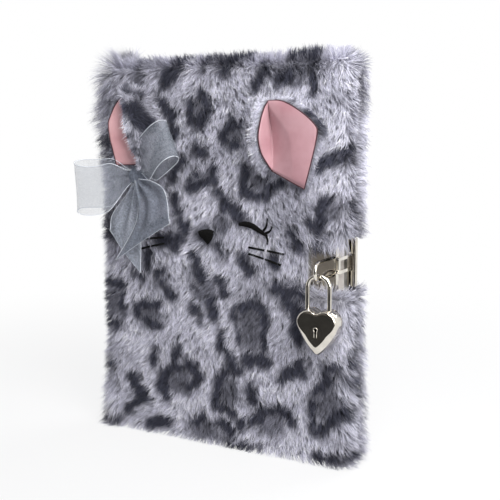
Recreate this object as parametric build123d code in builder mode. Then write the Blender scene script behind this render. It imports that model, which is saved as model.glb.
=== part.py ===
"""Plush-covered diary with a hasp and a heart padlock. Lengths are in millimetres.

X runs from the spine to the fore-edge, Y from the front to the back, Z up.
Z = 0 is the flat bottom of the trimmed pile, X = 0 the middle of the boards.
"""
import os
from math import cos, radians, sin, sqrt

from build123d import *

os.makedirs("parts", exist_ok=True)

# Cover boards and pages
BOARD_SPAN = 140.0
BOARD_H = 202.0
BOARD_T = 2.5
PAGE_T = 14.0
PAGE_SQUARE = 5.0
ENDPAPER_T = 0.3
LINING_T = 1.0
JOINT_W = 3.0
SPINE_INSET = 0.5
LEAF_GAP = 0.1
PAPER_GAP = 0.2
TURN_T = 3.0

# Plush pile
PILE_FACE = 5.0
PILE_EDGE = 9.0
PILE_FOOT = 10.0
PILE_SPINE = 7.0
PILE_ROUND = 4.0
SEAM_Y = -3.0
SEAM_HALF = 0.5
GROOVE_W = 8.5
SPINE_STRIP = 4.0
JOINT_GAP = 0.2

# Clasp
CLASP_Z = 109.0
PLATE_H = 26.0
PLATE_W = 13.5
PLATE_T = 0.8
NOTCH_MARGIN = 2.0
RIVET_R = 0.8
RIVET_HEAD_R = 1.7
RIVET_HEAD_H = 0.7
STRAP_T = 1.0
STRAP_H = 8.8
STRAP_GAP = 0.4
SLIT_H = 5.2
BAR_W = 2.6
PIN_R = 0.8
BARREL_R = 1.9
KNUCKLE_H = 8.0
RUN_FIT = 0.05
END_PLAY = 0.2

# Staple and padlock
WIRE_R = 0.9
STAPLE_INSET = 5.0
STAPLE_SPREAD = 9.5
HANG_DROP = 4.3
HANG_GAP = 0.3
SHACKLE_R = 1.2
LEG_SPACING = 12.4
SHACKLE_RISE = 17.3
HEART_W = 23.4
HEART_H = 24.7
LOBE_R = 6.8
SIDE_TURN = 18.0
TIP_R = 2.5
DIP_R = 1.2
CASE_T = 7.5
COVER_T = 1.0
BEVEL = 2.3
PAD_GAP = 0.55
LONG_DEPTH = 11.8
SHORT_DEPTH = 7.9
BORE_FIT = 0.08
PLUG_R = 3.6
PLUG_DROP = 11.8
PLUG_FIT = 0.05
NOTCH_H = 3.7
BOLT_H = 1.0
BOLT_BITE = 0.7

# Ears and bow
EAR_PILE = 4.0
SATIN_T = 0.8
EAR_H = 46.0
EAR_DROP = 63.0
EAR_INSET = 35.0
EAR_REACH = 14.5
EAR_LEAN = 3.0
RIGHT_EAR_W = 29.0
RIGHT_EAR_LIE = 7.5
LEFT_EAR_W = 23.5
LEFT_EAR_LIE = 10.0
FACE_MID_X = -4.5
RIBBON_T = 0.5
RIBBON_W = 28.0
GATHER_W = 7.0
LEFT_LOOP_L = 40.2
RIGHT_LOOP_L = 31.6
LEFT_TAIL_L = 58.5
RIGHT_TAIL_L = 52.5
TAIL_ROOT = 3.5
LOOP_SPREAD = 4.5
LOOP_ROOT = 2.0
TAIL_GAP = 0.6
KNOT_HALF = 4.5
KNOT_OUT = 7.5
KNOT_LOW = 7.0
KNOT_HIGH = 5.0
KNOT_ROUND = 3.0

# Levels that follow from the sizes
fore_x = BOARD_SPAN / 2
spine_x = -BOARD_SPAN / 2
board_z0 = PILE_FOOT
board_z1 = PILE_FOOT + BOARD_H
plush_z1 = board_z1 + PILE_EDGE
plush_x1 = fore_x + PILE_EDGE
page_y = PAGE_T / 2
paper_y = page_y + PAPER_GAP
board_in = paper_y + ENDPAPER_T
board_out = board_in + BOARD_T
face_y = board_out + PILE_FACE
spine_in = spine_x + BOARD_T
page_x0 = spine_in + LINING_T
page_x1 = fore_x - PAGE_SQUARE
page_z0 = board_z0 + PAGE_SQUARE
page_z1 = board_z1 - PAGE_SQUARE
board_x0 = page_x0 + JOINT_W
plush_x0 = page_x0 + GROOVE_W
plate_y = board_out + PLATE_T
edge_x = fore_x + PLATE_T
clasp_z0 = CLASP_Z - PLATE_H / 2
clasp_z1 = CLASP_Z + PLATE_H / 2
plate_x0 = fore_x - PLATE_W
rivet_x = plate_x0 + 2.6
rivet_low = clasp_z0 + 3.0
rivet_high = clasp_z1 - 3.0
staple_x = fore_x - STAPLE_INSET
hang_z = CLASP_Z - HANG_DROP
hang_y = face_y + PAD_GAP + COVER_T + CASE_T / 2
staple_low = hang_z - SHACKLE_R - HANG_GAP - WIRE_R
staple_high = staple_low + STAPLE_SPREAD
ear_z0 = board_z1 - EAR_DROP
ear_fold = fore_x - EAR_INSET


def block(x0, x1, y0, y1, z0, z1, mode=Mode.ADD):
    """A box between three pairs of levels."""
    with Locations(((x0 + x1) / 2, (y0 + y1) / 2, (z0 + z1) / 2)):
        Box(x1 - x0, y1 - y0, z1 - z0, mode=mode)


def rod_y(x, z, radius, y0, y1, mode=Mode.ADD):
    """A round bar along Y between two levels."""
    with Locations(Location((x, (y0 + y1) / 2, z), (90, 0, 0))):
        Cylinder(radius, abs(y1 - y0), mode=mode)


def rod_z(x, y, radius, z0, z1, mode=Mode.ADD):
    """A round bar along Z between two levels."""
    with Locations((x, y, (z0 + z1) / 2)):
        Cylinder(radius, z1 - z0, mode=mode)


def export(piece, name):
    """Name one piece and write its file."""
    piece.part.label = name
    export_step(piece.part, "parts/" + name + ".step")


# Spine: board, plush strip and the cloth lining glued to the pages
with BuildPart() as spine_board:
    block(spine_x, spine_in, -page_y + SPINE_INSET, page_y - SPINE_INSET, board_z0, board_z1)
export(spine_board, "spine_board")

with BuildPart() as spine_plush:
    block(spine_x - PILE_SPINE, spine_x, -SPINE_STRIP, SPINE_STRIP, 0, plush_z1)
    block(spine_x, spine_in, -SPINE_STRIP, SPINE_STRIP, 0, board_z0)
    block(spine_x, spine_in, -SPINE_STRIP, SPINE_STRIP, board_z1, plush_z1)
    top_edges = spine_plush.faces().sort_by(Axis.Z)[-1].edges().filter_by(Axis.Y).sort_by(Axis.X)
    fillet(top_edges[0], PILE_ROUND)
export(spine_plush, "spine_plush")

with BuildPart() as spine_lining:
    block(spine_in, page_x0, -page_y + SPINE_INSET, page_y - SPINE_INSET, page_z0, page_z1)
export(spine_lining, "spine_lining")

# Headbands: rolled cloth strips at both ends of the page spine
HEADBAND_W = 2.4
HEADBAND_H = 1.6
with BuildPart() as head_band:
    block(page_x0, page_x0 + HEADBAND_W, -PAPER_GAP, page_y, page_z1, page_z1 + HEADBAND_H)
    fillet(head_band.faces().sort_by(Axis.Z)[-1].edges().filter_by(Axis.Y), HEADBAND_H / 2.5)
export(head_band, "head_band")

with BuildPart() as tail_band:
    block(page_x0, page_x0 + HEADBAND_W, -PAPER_GAP, page_y, page_z0 - HEADBAND_H, page_z0)
    fillet(tail_band.faces().sort_by(Axis.Z)[0].edges().filter_by(Axis.Y), HEADBAND_H / 2.5)
export(tail_band, "tail_band")

# Pages: a fixed rear part and two groups that turn with the front cover
middle_y0 = -page_y + TURN_T
rear_y0 = -page_y + 2 * TURN_T
with BuildPart() as rear_leaves:
    block(page_x0, page_x1, rear_y0, page_y, page_z0, page_z1)
export(rear_leaves, "rear_leaves")

with BuildPart() as middle_leaves:
    block(page_x0, page_x1, middle_y0, rear_y0 - LEAF_GAP, page_z0, page_z1)
export(middle_leaves, "middle_leaves")

with BuildPart() as front_leaves:
    block(page_x0, page_x1, -page_y, middle_y0 - LEAF_GAP, page_z0, page_z1)
export(front_leaves, "front_leaves")

# Front cover: board with holes for the rivets and the staple's legs
with BuildPart() as front_board:
    block(board_x0, fore_x, -board_out, -board_in, board_z0, board_z1)
    for z in (rivet_low, rivet_high):
        rod_y(rivet_x, z, RIVET_R, -board_out, -board_in, Mode.SUBTRACT)
    for z in (staple_low, staple_high):
        rod_y(staple_x, z, WIRE_R, -board_out, -board_in, Mode.SUBTRACT)
export(front_board, "front_board")

with BuildPart() as back_board:
    block(board_x0, fore_x, board_in, board_out, board_z0, board_z1)
    for z in (rivet_low, rivet_high):
        rod_y(rivet_x, z, RIVET_R, board_in, board_out, Mode.SUBTRACT)
export(back_board, "back_board")

with BuildPart() as front_endpaper:
    block(board_x0, fore_x - 2, -board_in, -paper_y, board_z0 + 2, board_z1 - 2)
export(front_endpaper, "front_endpaper")

with BuildPart() as back_endpaper:
    mirror(front_endpaper.part, about=Plane.XZ)
export(back_endpaper, "back_endpaper")

# Cover plush: pile over a board's face, turned round three edges, cut away at the clasp
def cover_plush(seam):
    """The front cover's pile, reaching inwards as far as the seam between both covers."""
    with BuildSketch(Plane.XZ.offset(seam)) as outline:
        with BuildLine():
            Polyline((plush_x0, 0), (plush_x1, 0), (plush_x1, plush_z1), (plush_x0, plush_z1), close=True)
        make_face()
        corners = outline.vertices().filter_by(lambda v: v.X > plush_x0 + 1)
        fillet(corners, PILE_ROUND)
    slab = extrude(outline.sketch, amount=face_y - seam)
    rim = slab.faces().sort_by(Axis.Y)[0].edges().filter_by(lambda e: e.center().X > plush_x0 + 0.1)
    fillet(rim, PILE_ROUND - 0.5)
    block(plush_x0, fore_x, -board_out, 0, board_z0, board_z1, Mode.SUBTRACT)
    block(plush_x0, fore_x, -1, face_y, board_z0, board_z1, Mode.SUBTRACT)
    block(plate_x0 - NOTCH_MARGIN, plush_x1, -face_y, face_y, clasp_z0 - NOTCH_MARGIN,
          clasp_z1 + NOTCH_MARGIN, Mode.SUBTRACT)


with BuildPart() as front_plush:
    cover_plush(SEAM_HALF - SEAM_Y)
export(front_plush, "front_plush")

with BuildPart() as back_pile:
    cover_plush(SEAM_Y + SEAM_HALF)

with BuildPart() as back_plush:
    mirror(back_pile.part, about=Plane.XZ)
export(back_plush, "back_plush")

# Joint plush: the soft strip that bends between a cover and the spine
with BuildPart() as front_joint_plush:
    with BuildSketch(Plane.XY):
        with BuildLine():
            Polyline(
                (spine_x - PILE_SPINE, -SPINE_STRIP - JOINT_GAP),
                (spine_x - PILE_SPINE, -board_out),
                (spine_x, -face_y),
                (plush_x0 - JOINT_GAP, -face_y),
                (plush_x0 - JOINT_GAP, -board_out),
                (board_x0, -board_out),
                (spine_x, -page_y - PAPER_GAP),
                (spine_x, -SPINE_STRIP - JOINT_GAP),
                close=True,
            )
        make_face()
    extrude(amount=plush_z1)
    corner = front_joint_plush.edges().filter_by(Axis.Z).sort_by(Axis.Y)
    fillet([e for e in corner if e.center().X < spine_x - 0.1 and e.center().Y < -face_y / 2], 2.0)
export(front_joint_plush, "front_joint_plush")

with BuildPart() as back_joint_plush:
    mirror(front_joint_plush.part, about=Plane.XZ)
export(back_joint_plush, "back_joint_plush")

# Clasp plates: bent round the boards' fore-edges
with BuildPart() as front_clasp_plate:
    block(plate_x0, edge_x, -plate_y, -board_out, clasp_z0, clasp_z1)
    fillet(front_clasp_plate.edges().filter_by(Axis.Y).group_by(Axis.X)[0], 2.0)
    block(fore_x, edge_x, -board_out, -paper_y - 0.1, clasp_z0, clasp_z1)
    fillet(front_clasp_plate.edges().filter_by(Axis.Z).sort_by(Axis.Y)[0:2].sort_by(Axis.X)[-1], 0.5)
    for z in (rivet_low, rivet_high):
        rod_y(rivet_x, z, RIVET_R, -plate_y, -board_out, Mode.SUBTRACT)
    for z in (staple_low, staple_high):
        rod_y(staple_x, z, WIRE_R, -plate_y, -board_out, Mode.SUBTRACT)
export(front_clasp_plate, "front_clasp_plate")

pin_x = edge_x + STRAP_GAP + BARREL_R
pin_y = plate_y - BARREL_R
strap_z0 = clasp_z0 + KNUCKLE_H + END_PLAY
strap_z1 = clasp_z1 - KNUCKLE_H - END_PLAY
with BuildPart() as back_clasp_plate:
    block(plate_x0, edge_x, board_out, plate_y, clasp_z0, clasp_z1)
    fillet(back_clasp_plate.edges().filter_by(Axis.Y).group_by(Axis.X)[0], 2.0)
    block(fore_x, edge_x, paper_y + 0.1, board_out, clasp_z0, clasp_z1)
    for z0, z1 in ((clasp_z0, clasp_z0 + KNUCKLE_H), (clasp_z1 - KNUCKLE_H, clasp_z1)):
        block(edge_x, pin_x, board_out, plate_y, z0, z1)
        rod_z(pin_x, pin_y, BARREL_R, z0, z1)
        rod_z(pin_x, pin_y, PIN_R, z0, z1, Mode.SUBTRACT)
    for z in (rivet_low, rivet_high):
        rod_y(rivet_x, z, RIVET_R, board_out, plate_y, Mode.SUBTRACT)
export(back_clasp_plate, "back_clasp_plate")


def rivet(z, side):
    """A domed rivet through a plate and its board, at one height and on one side."""
    rod_y(rivet_x, z, RIVET_R, side * board_in, side * plate_y)
    plane = Plane(origin=(rivet_x, side * plate_y, z), x_dir=(1, 0, 0), z_dir=(0, side, 0))
    with BuildSketch(plane) as head:
        Circle(RIVET_HEAD_R)
    extrude(head.sketch, amount=RIVET_HEAD_H, taper=35)


with BuildPart() as front_rivet_low:
    rivet(rivet_low, -1)
export(front_rivet_low, "front_rivet_low")

with BuildPart() as front_rivet_high:
    rivet(rivet_high, -1)
export(front_rivet_high, "front_rivet_high")

with BuildPart() as back_rivet_low:
    rivet(rivet_low, 1)
export(back_rivet_low, "back_rivet_low")

with BuildPart() as back_rivet_high:
    rivet(rivet_high, 1)
export(back_rivet_high, "back_rivet_high")

# Hasp: pin in the back plate's knuckles, strap with a slit across the fore-edge
with BuildPart() as hasp_pin:
    rod_z(pin_x, pin_y, PIN_R, clasp_z0, clasp_z1)
    for z0, z1 in ((clasp_z0 - 0.6, clasp_z0), (clasp_z1, clasp_z1 + 0.6)):
        rod_z(pin_x, pin_y, PIN_R + 0.5, z0, z1)
export(hasp_pin, "hasp_pin")

strap_in = edge_x + STRAP_GAP
strap_end = -plate_y
wide_y = pin_y - BARREL_R - 0.5
wide_z0 = CLASP_Z - STRAP_H / 2
wide_z1 = CLASP_Z + STRAP_H / 2
with BuildPart() as hasp_strap:
    block(strap_in, strap_in + STRAP_T, wide_y, pin_y, strap_z0, strap_z1)
    block(strap_in, strap_in + STRAP_T, strap_end, wide_y, wide_z0, wide_z1)
    fillet(hasp_strap.edges().filter_by(Axis.X).group_by(Axis.Y)[0], 1.5)
    rod_z(pin_x, pin_y, BARREL_R, strap_z0, strap_z1)
    rod_z(pin_x, pin_y, PIN_R + RUN_FIT, strap_z0, strap_z1, Mode.SUBTRACT)
    block(strap_in, strap_in + STRAP_T, strap_end + BAR_W, wide_y - BAR_W,
          CLASP_Z - SLIT_H / 2, CLASP_Z + SLIT_H / 2, Mode.SUBTRACT)
export(hasp_strap, "hasp_strap")

# Staple: wire loop standing out of the front plate, its legs through the board
with BuildPart() as lock_staple:
    with BuildLine(Plane.YZ.offset(staple_x)) as staple_path:
        low = Line((-board_in, staple_low), (-hang_y, staple_low))
        bend = CenterArc((-hang_y, staple_low + STAPLE_SPREAD / 2), STAPLE_SPREAD / 2, 270, -180)
        high = Line((-hang_y, staple_high), (-board_in, staple_high))
    with BuildSketch(Plane(origin=(staple_x, -board_in, staple_low), x_dir=(1, 0, 0), z_dir=(0, -1, 0))):
        Circle(WIRE_R)
    sweep(path=staple_path.line)
export(lock_staple, "lock_staple")

# Shackle: bent rod that hangs in the staple, long leg left, notched short leg right
leg_r = LEG_SPACING / 2
leg_left = staple_x - leg_r
leg_right = staple_x + leg_r
arch_z = hang_z - leg_r
heart_top = hang_z - SHACKLE_RISE
bolt_z0 = heart_top - 4.7
bite_x = leg_right - SHACKLE_R
with BuildPart() as shackle:
    with BuildLine(Plane.XZ.offset(hang_y)) as shackle_path:
        Line((leg_left, heart_top - LONG_DEPTH), (leg_left, arch_z))
        CenterArc((staple_x, arch_z), leg_r, 180, -180)
        Line((leg_right, arch_z), (leg_right, heart_top - SHORT_DEPTH))
    with BuildSketch(Plane.XY.offset(heart_top - LONG_DEPTH)):
        with Locations((leg_left, -hang_y)):
            Circle(SHACKLE_R)
    sweep(path=shackle_path.line)
    block(bite_x - 1, bite_x + BOLT_BITE + 0.3, -hang_y - 2, -hang_y + 2,
          bolt_z0 + BOLT_H + 0.3 - NOTCH_H, bolt_z0 + BOLT_H + 0.3, Mode.SUBTRACT)
export(shackle, "shackle")

# Heart outline: two round lobes and gently bulging sides to the point
lobe_x = HEART_W / 2 - LOBE_R
lobe_z = heart_top - LOBE_R
tip_z = heart_top - HEART_H
dip_z = lobe_z + sqrt(LOBE_R**2 - lobe_x**2)
side_turn = radians(SIDE_TURN)
side_x = lobe_x + LOBE_R * cos(side_turn)
side_z = lobe_z - LOBE_R * sin(side_turn)


def heart(sketch):
    """The heart's outline on a sketch, its dip and its point rounded."""
    with BuildLine() as outline:
        ThreePointArc((staple_x, dip_z), (staple_x + lobe_x, heart_top), (staple_x + side_x, side_z))
        TangentArc((staple_x + side_x, side_z), (staple_x, tip_z), tangent=(-sin(side_turn), -cos(side_turn)))
        mirror(about=Plane.YZ.offset(staple_x))
    make_face(outline.edges())
    for end, radius in ((0, TIP_R), (-1, DIP_R)):
        middle = sketch.vertices().filter_by(lambda v: abs(v.X - staple_x) < 0.01)
        fillet(middle.sort_by(Axis.Y)[end], radius)


# Padlock case: bevelled front, bores for the legs, plug and bolt pockets open at the back
case_front = hang_y + CASE_T / 2
case_back = hang_y - CASE_T / 2
plug_z = heart_top - PLUG_DROP
flange_y = hang_y - 0.3
tail_front = hang_y - SHACKLE_R - 0.3
tail_back = case_back + 0.3
CAM_ARM = 2.7
CAM_R = 0.6
BOLT_TRAVEL = 3.1
WINDOW_HALF = 1.3
tail_left = staple_x - WINDOW_HALF - 0.9
tail_right = leg_right - SHACKLE_R - 1.0
tail_z0 = plug_z - 1.9
tail_z1 = plug_z + CAM_ARM + 2.4
neck_left = staple_x + 1.3
POCKET = 0.25
with BuildPart() as padlock_case:
    with BuildSketch(Plane.XZ.offset(case_back)) as case_face:
        heart(case_face)
    extrude(amount=CASE_T)
    chamfer(padlock_case.faces().sort_by(Axis.Y)[0].edges(), BEVEL)
    for leg, depth in ((leg_left, LONG_DEPTH), (leg_right, SHORT_DEPTH)):
        rod_z(leg, -hang_y, SHACKLE_R + BORE_FIT, heart_top - depth - 0.4, heart_top + 1, Mode.SUBTRACT)
    rod_y(staple_x, plug_z, PLUG_R + PLUG_FIT, -case_front, -case_back, Mode.SUBTRACT)
    rod_y(staple_x, plug_z, PLUG_R + 0.7, -flange_y - 1.2, -case_back, Mode.SUBTRACT)
    block(tail_left - BOLT_TRAVEL - POCKET, tail_right + POCKET, -tail_front - POCKET, -case_back,
          tail_z0 - POCKET, tail_z1 + POCKET, Mode.SUBTRACT)
    block(neck_left - BOLT_TRAVEL - POCKET, tail_right + POCKET, -tail_front - POCKET, -case_back,
          tail_z1, bolt_z0 + BOLT_H + POCKET, Mode.SUBTRACT)
    block(neck_left - BOLT_TRAVEL - POCKET, leg_right, -hang_y - 0.9, -tail_front, bolt_z0 - POCKET,
          bolt_z0 + BOLT_H + POCKET, Mode.SUBTRACT)
export(padlock_case, "padlock_case")

with BuildPart() as padlock_cover:
    with BuildSketch(Plane.XZ.offset(case_back - COVER_T)) as cover_face:
        heart(cover_face)
    extrude(amount=COVER_T)
    chamfer(padlock_cover.faces().sort_by(Axis.Y)[-1].edges(), 0.4)
export(padlock_cover, "padlock_cover")

# Key plug: round core with the keyhole, retaining flange and cam pin
with BuildPart() as key_plug:
    rod_y(staple_x, plug_z, PLUG_R, -case_front, -flange_y - 1.0)
    rod_y(staple_x, plug_z, PLUG_R + 0.5, -flange_y - 1.0, -flange_y + 0.2)
    rod_y(staple_x, plug_z + CAM_ARM, CAM_R, -flange_y + 0.2, -tail_back)
    rod_y(staple_x, plug_z + 1.5, 1.0, -case_front, -flange_y - 1.4, Mode.SUBTRACT)
    block(staple_x - 0.6, staple_x + 0.6, -case_front, -flange_y - 1.4, plug_z - 2.7, plug_z + 1.5,
          Mode.SUBTRACT)
export(key_plug, "key_plug")

# Latch: bolt in the short leg's notch, tail with a window for the cam pin
with BuildPart() as latch:
    block(tail_left, tail_right, -tail_front, -tail_back, tail_z0, tail_z1)
    block(neck_left, tail_right, -tail_front, -tail_back, tail_z1, bolt_z0 + BOLT_H)
    block(neck_left, bite_x + BOLT_BITE, -hang_y - 0.7, -tail_front, bolt_z0, bolt_z0 + BOLT_H)
    block(staple_x - WINDOW_HALF, staple_x + WINDOW_HALF, -tail_front, -tail_back, plug_z - 1.1,
          plug_z + CAM_ARM + 1.0, Mode.SUBTRACT)
export(latch, "latch")

# Latch spring: bent leaf between the pocket's wall and the latch
with BuildPart() as latch_spring:
    leaf_x0 = neck_left - BOLT_TRAVEL - POCKET
    leaf_z0 = tail_z1 + 0.2
    leaf_z1 = bolt_z0 - 0.5
    with BuildSketch(Plane.XZ.offset(tail_back + 0.2)):
        with BuildLine():
            Polyline(
                (leaf_x0, leaf_z0),
                (leaf_x0 + 0.25, leaf_z0),
                (neck_left, leaf_z1 - 0.3),
                (neck_left, leaf_z1),
                (leaf_x0, leaf_z0 + 0.3),
                close=True,
            )
        make_face()
    extrude(amount=0.8)
export(latch_spring, "latch_spring")


def vee(tip_a, bend, tip_b, near, far):
    """Corners of a bent band between two offsets from a bent line, the far side outermost."""
    def normal(p, q):
        length = sqrt((q[0] - p[0]) ** 2 + (q[1] - p[1]) ** 2)
        return (-(q[1] - p[1]) / length, (q[0] - p[0]) / length)

    n1 = normal(tip_a, bend)
    n2 = normal(bend, tip_b)
    scale = 1 / (1 + n1[0] * n2[0] + n1[1] * n2[1])
    middle = ((n1[0] + n2[0]) * scale, (n1[1] + n2[1]) * scale)

    def at(p, n, d):
        return (p[0] + n[0] * d, p[1] + n[1] * d)

    return [
        at(tip_a, n1, near), at(bend, middle, near), at(tip_b, n2, near),
        at(tip_b, n2, far), at(bend, middle, far), at(tip_a, n1, far),
    ]


def ear_layer(near, far, margin, lean, width, lie):
    """One layer of a right-hand ear: a folded band trimmed by the ear's leaf outlines."""
    fold_x = ear_fold
    edge = ear_fold + width
    crease = (fold_x, -face_y - EAR_PILE - 0.2)
    standing = (fold_x + lean, -face_y - EAR_REACH)
    lying = (edge, -face_y - lie)
    with BuildSketch(Plane.XY.offset(ear_z0 - 6)) as fold:
        with BuildLine():
            Polyline(*vee(standing, crease, lying, near, far), close=True)
        make_face()
    extrude(fold.sketch, amount=EAR_H + 12)
    with BuildSketch(Plane.XZ.offset(face_y - 5)) as leaf:
        with BuildLine():
            Spline(
                (fold_x - 7.0 - margin, ear_z0 + 12), (fold_x - 7.0 - margin, ear_z0 + 30),
                (fold_x, ear_z0 + EAR_H + margin), (edge - 1.5 + margin, ear_z0 + 32 + margin / 2),
                (edge - 8.0 + margin / 2, ear_z0 - margin), (fold_x + 5.0, ear_z0 + 4 - margin),
                periodic=True,
            )
        make_face()
    extrude(leaf.sketch, amount=60, mode=Mode.INTERSECT)
    far_y = -face_y - EAR_REACH - 1.0 - margin
    with BuildSketch(Plane.YZ.offset(fold_x - 15)) as side:
        with BuildLine():
            Polyline(
                (-face_y, ear_z0 - 8), (-face_y, ear_z0 + EAR_H + 8),
                (-face_y - 4, ear_z0 + EAR_H + margin), (far_y, ear_z0 + 34 + margin),
                (far_y, ear_z0 - 8), close=True,
            )
        make_face()
    extrude(side.sketch, amount=60, mode=Mode.INTERSECT)


# Where the bow sits, at the left ear's root
knot_x = 2 * FACE_MID_X - ear_fold - 3.5
knot_z = ear_z0 + 6.5
knot_y = -face_y - KNOT_OUT
tail_y = -knot_y + 2.0
tail_z = KNOT_LOW - 0.5


def bow_space():
    """Takes away what the bow's knot and loops press flat."""
    block(knot_x - 45, knot_x - 1.5, -45, -face_y + 1, knot_z - 15, knot_z + 11.5, Mode.SUBTRACT)
    block(knot_x - KNOT_HALF - 0.2, knot_x + KNOT_HALF + 0.2, -45, -face_y + 1, knot_z - 15,
          knot_z + 5.2, Mode.SUBTRACT)
    with BuildSketch(Plane.XZ.offset(face_y + 3)) as space:
        with BuildLine():
            Polyline(
                (knot_x - 2, knot_z - 15), (knot_x - 2, knot_z + 7), (knot_x + 12, knot_z + 30),
                (knot_x + 30, knot_z + 30), (knot_x + 30, knot_z - 15), close=True,
            )
        make_face()
    extrude(space.sketch, amount=30, mode=Mode.SUBTRACT)


# Ears: folded plush flaps lined with satin, sewn to the front cover
with BuildPart() as right_ear_plush:
    ear_layer(0, EAR_PILE, 2.5, -EAR_LEAN, RIGHT_EAR_W, RIGHT_EAR_LIE)
export(right_ear_plush, "right_ear_plush")

with BuildPart() as right_ear_lining:
    ear_layer(-SATIN_T, 0, 0, -EAR_LEAN, RIGHT_EAR_W, RIGHT_EAR_LIE)
export(right_ear_lining, "right_ear_lining")

# The left ear folds over, so its standing side leans across the satin
with BuildPart() as folded_plush:
    ear_layer(0, EAR_PILE, 2.5, EAR_LEAN, LEFT_EAR_W, LEFT_EAR_LIE)

with BuildPart() as folded_lining:
    ear_layer(-SATIN_T, 0, 0, EAR_LEAN, LEFT_EAR_W, LEFT_EAR_LIE)

with BuildPart() as left_ear_plush:
    mirror(folded_plush.part, about=Plane.YZ.offset(FACE_MID_X))
    bow_space()
export(left_ear_plush, "left_ear_plush")

with BuildPart() as left_ear_lining:
    mirror(folded_lining.part, about=Plane.YZ.offset(FACE_MID_X))
    bow_space()
export(left_ear_lining, "left_ear_lining")

# Bow: gathered ribbon loops and tails held by a knot
def ribbon_loop(reach):
    """A gathered loop of ribbon that reaches from the knot to its tip."""
    knot = (knot_x, knot_y, knot_z)
    along = reach.normalized()
    wide = (Vector(0, 0, 1) - along * along.Z).normalized()
    plan = Plane(origin=knot, x_dir=along, z_dir=wide)
    face = Plane(origin=knot, x_dir=along, z_dir=along.cross(wide))
    length = reach.length
    half = LOOP_SPREAD
    thin = LOOP_SPREAD - RIBBON_T
    with BuildSketch(plan) as band:
        with BuildLine():
            outer = Spline(
                (LOOP_ROOT, RIBBON_T + 0.4), (length * 0.4, half * 0.8), (length * 0.8, half),
                (length, 0), (length * 0.8, -half), (length * 0.4, -half * 0.8),
                (LOOP_ROOT, -RIBBON_T - 0.4),
            )
            inner = Spline(
                (LOOP_ROOT, 0.4), (length * 0.4, half * 0.8 - RIBBON_T), (length * 0.8 - 0.1, thin),
                (length - RIBBON_T, 0), (length * 0.8 - 0.1, -thin),
                (length * 0.4, -half * 0.8 + RIBBON_T), (LOOP_ROOT, -0.4),
            )
            Line(outer @ 0, inner @ 0)
            Line(outer @ 1, inner @ 1)
        make_face()
    extrude(band.sketch, amount=RIBBON_W, both=True)
    with BuildSketch(face) as taper:
        with BuildLine():
            Polyline(
                (0, GATHER_W / 2), (length * 0.75, RIBBON_W / 2), (length + 2, RIBBON_W / 2),
                (length + 2, -RIBBON_W / 2), (length * 0.75, -RIBBON_W / 2), (0, -GATHER_W / 2),
                close=True,
            )
        make_face()
    extrude(taper.sketch, amount=20, both=True, mode=Mode.INTERSECT)


with BuildPart() as bow_left_loop:
    ribbon_loop(Vector(-0.9206, -0.3110, -0.2364) * LEFT_LOOP_L)
export(bow_left_loop, "bow_left_loop")

with BuildPart() as bow_right_loop:
    ribbon_loop(Vector(0.7753, -0.2373, 0.5854) * RIGHT_LOOP_L)
export(bow_right_loop, "bow_right_loop")

def ribbon_tail(depth, length, root_x, corners):
    """A flat tail below the knot, its corners given as shares of its length."""
    with BuildSketch(Plane.XZ.offset(depth).shift_origin((knot_x, -depth, knot_z))) as cut:
        with BuildLine():
            Polyline(
                (root_x, -tail_z), (root_x + TAIL_ROOT, -tail_z),
                *[(x * length, z * length) for x, z in corners], close=True,
            )
        make_face()
    extrude(cut.sketch, amount=RIBBON_T)


with BuildPart() as bow_left_tail:
    ribbon_tail(
        tail_y, LEFT_TAIL_L, -TAIL_ROOT * 0.57,
        [(0.068, -0.521), (0.009, -1.0), (-0.111, -0.778), (-0.376, -0.556), (-0.333, -0.402)],
    )
export(bow_left_tail, "bow_left_tail")

with BuildPart() as bow_right_tail:
    ribbon_tail(
        tail_y + RIBBON_T + TAIL_GAP, RIGHT_TAIL_L, -TAIL_ROOT * 0.29,
        [(0.343, -0.276), (0.381, -0.562), (0.029, -0.810), (-0.324, -1.0)],
    )
export(bow_right_tail, "bow_right_tail")

with BuildPart() as bow_knot:
    block(knot_x - KNOT_HALF, knot_x + KNOT_HALF, knot_y - KNOT_HIGH, -face_y, knot_z - KNOT_LOW,
          knot_z + KNOT_HIGH)
    fillet(bow_knot.edges().filter_by(Axis.Y), KNOT_ROUND)
    for ribbon in (bow_left_loop, bow_right_loop, bow_left_tail, bow_right_tail):
        add(ribbon.part, mode=Mode.SUBTRACT)
export(bow_knot, "bow_knot")
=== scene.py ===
"""Plush diary with a heart padlock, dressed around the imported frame. Lengths here are millimetres."""
import math

import bmesh
import bpy
import numpy as np
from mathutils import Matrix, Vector


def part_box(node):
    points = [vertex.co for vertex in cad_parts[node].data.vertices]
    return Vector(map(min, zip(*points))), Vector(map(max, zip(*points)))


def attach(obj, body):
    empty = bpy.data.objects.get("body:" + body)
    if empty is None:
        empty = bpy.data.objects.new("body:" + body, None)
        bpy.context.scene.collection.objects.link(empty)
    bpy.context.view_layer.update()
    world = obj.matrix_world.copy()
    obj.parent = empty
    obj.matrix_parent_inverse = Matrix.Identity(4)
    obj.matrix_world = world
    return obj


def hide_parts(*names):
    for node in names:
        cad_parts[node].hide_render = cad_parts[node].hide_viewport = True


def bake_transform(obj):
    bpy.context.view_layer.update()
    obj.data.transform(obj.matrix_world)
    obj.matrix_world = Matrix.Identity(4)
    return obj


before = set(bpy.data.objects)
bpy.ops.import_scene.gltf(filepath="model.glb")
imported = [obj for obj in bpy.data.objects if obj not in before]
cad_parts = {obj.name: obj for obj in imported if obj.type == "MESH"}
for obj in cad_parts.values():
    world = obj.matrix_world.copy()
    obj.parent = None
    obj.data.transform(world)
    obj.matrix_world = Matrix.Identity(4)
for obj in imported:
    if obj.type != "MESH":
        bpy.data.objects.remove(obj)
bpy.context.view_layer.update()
MM = 0.001
QUICK = 1.0
rng = np.random.default_rng(11)

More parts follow.
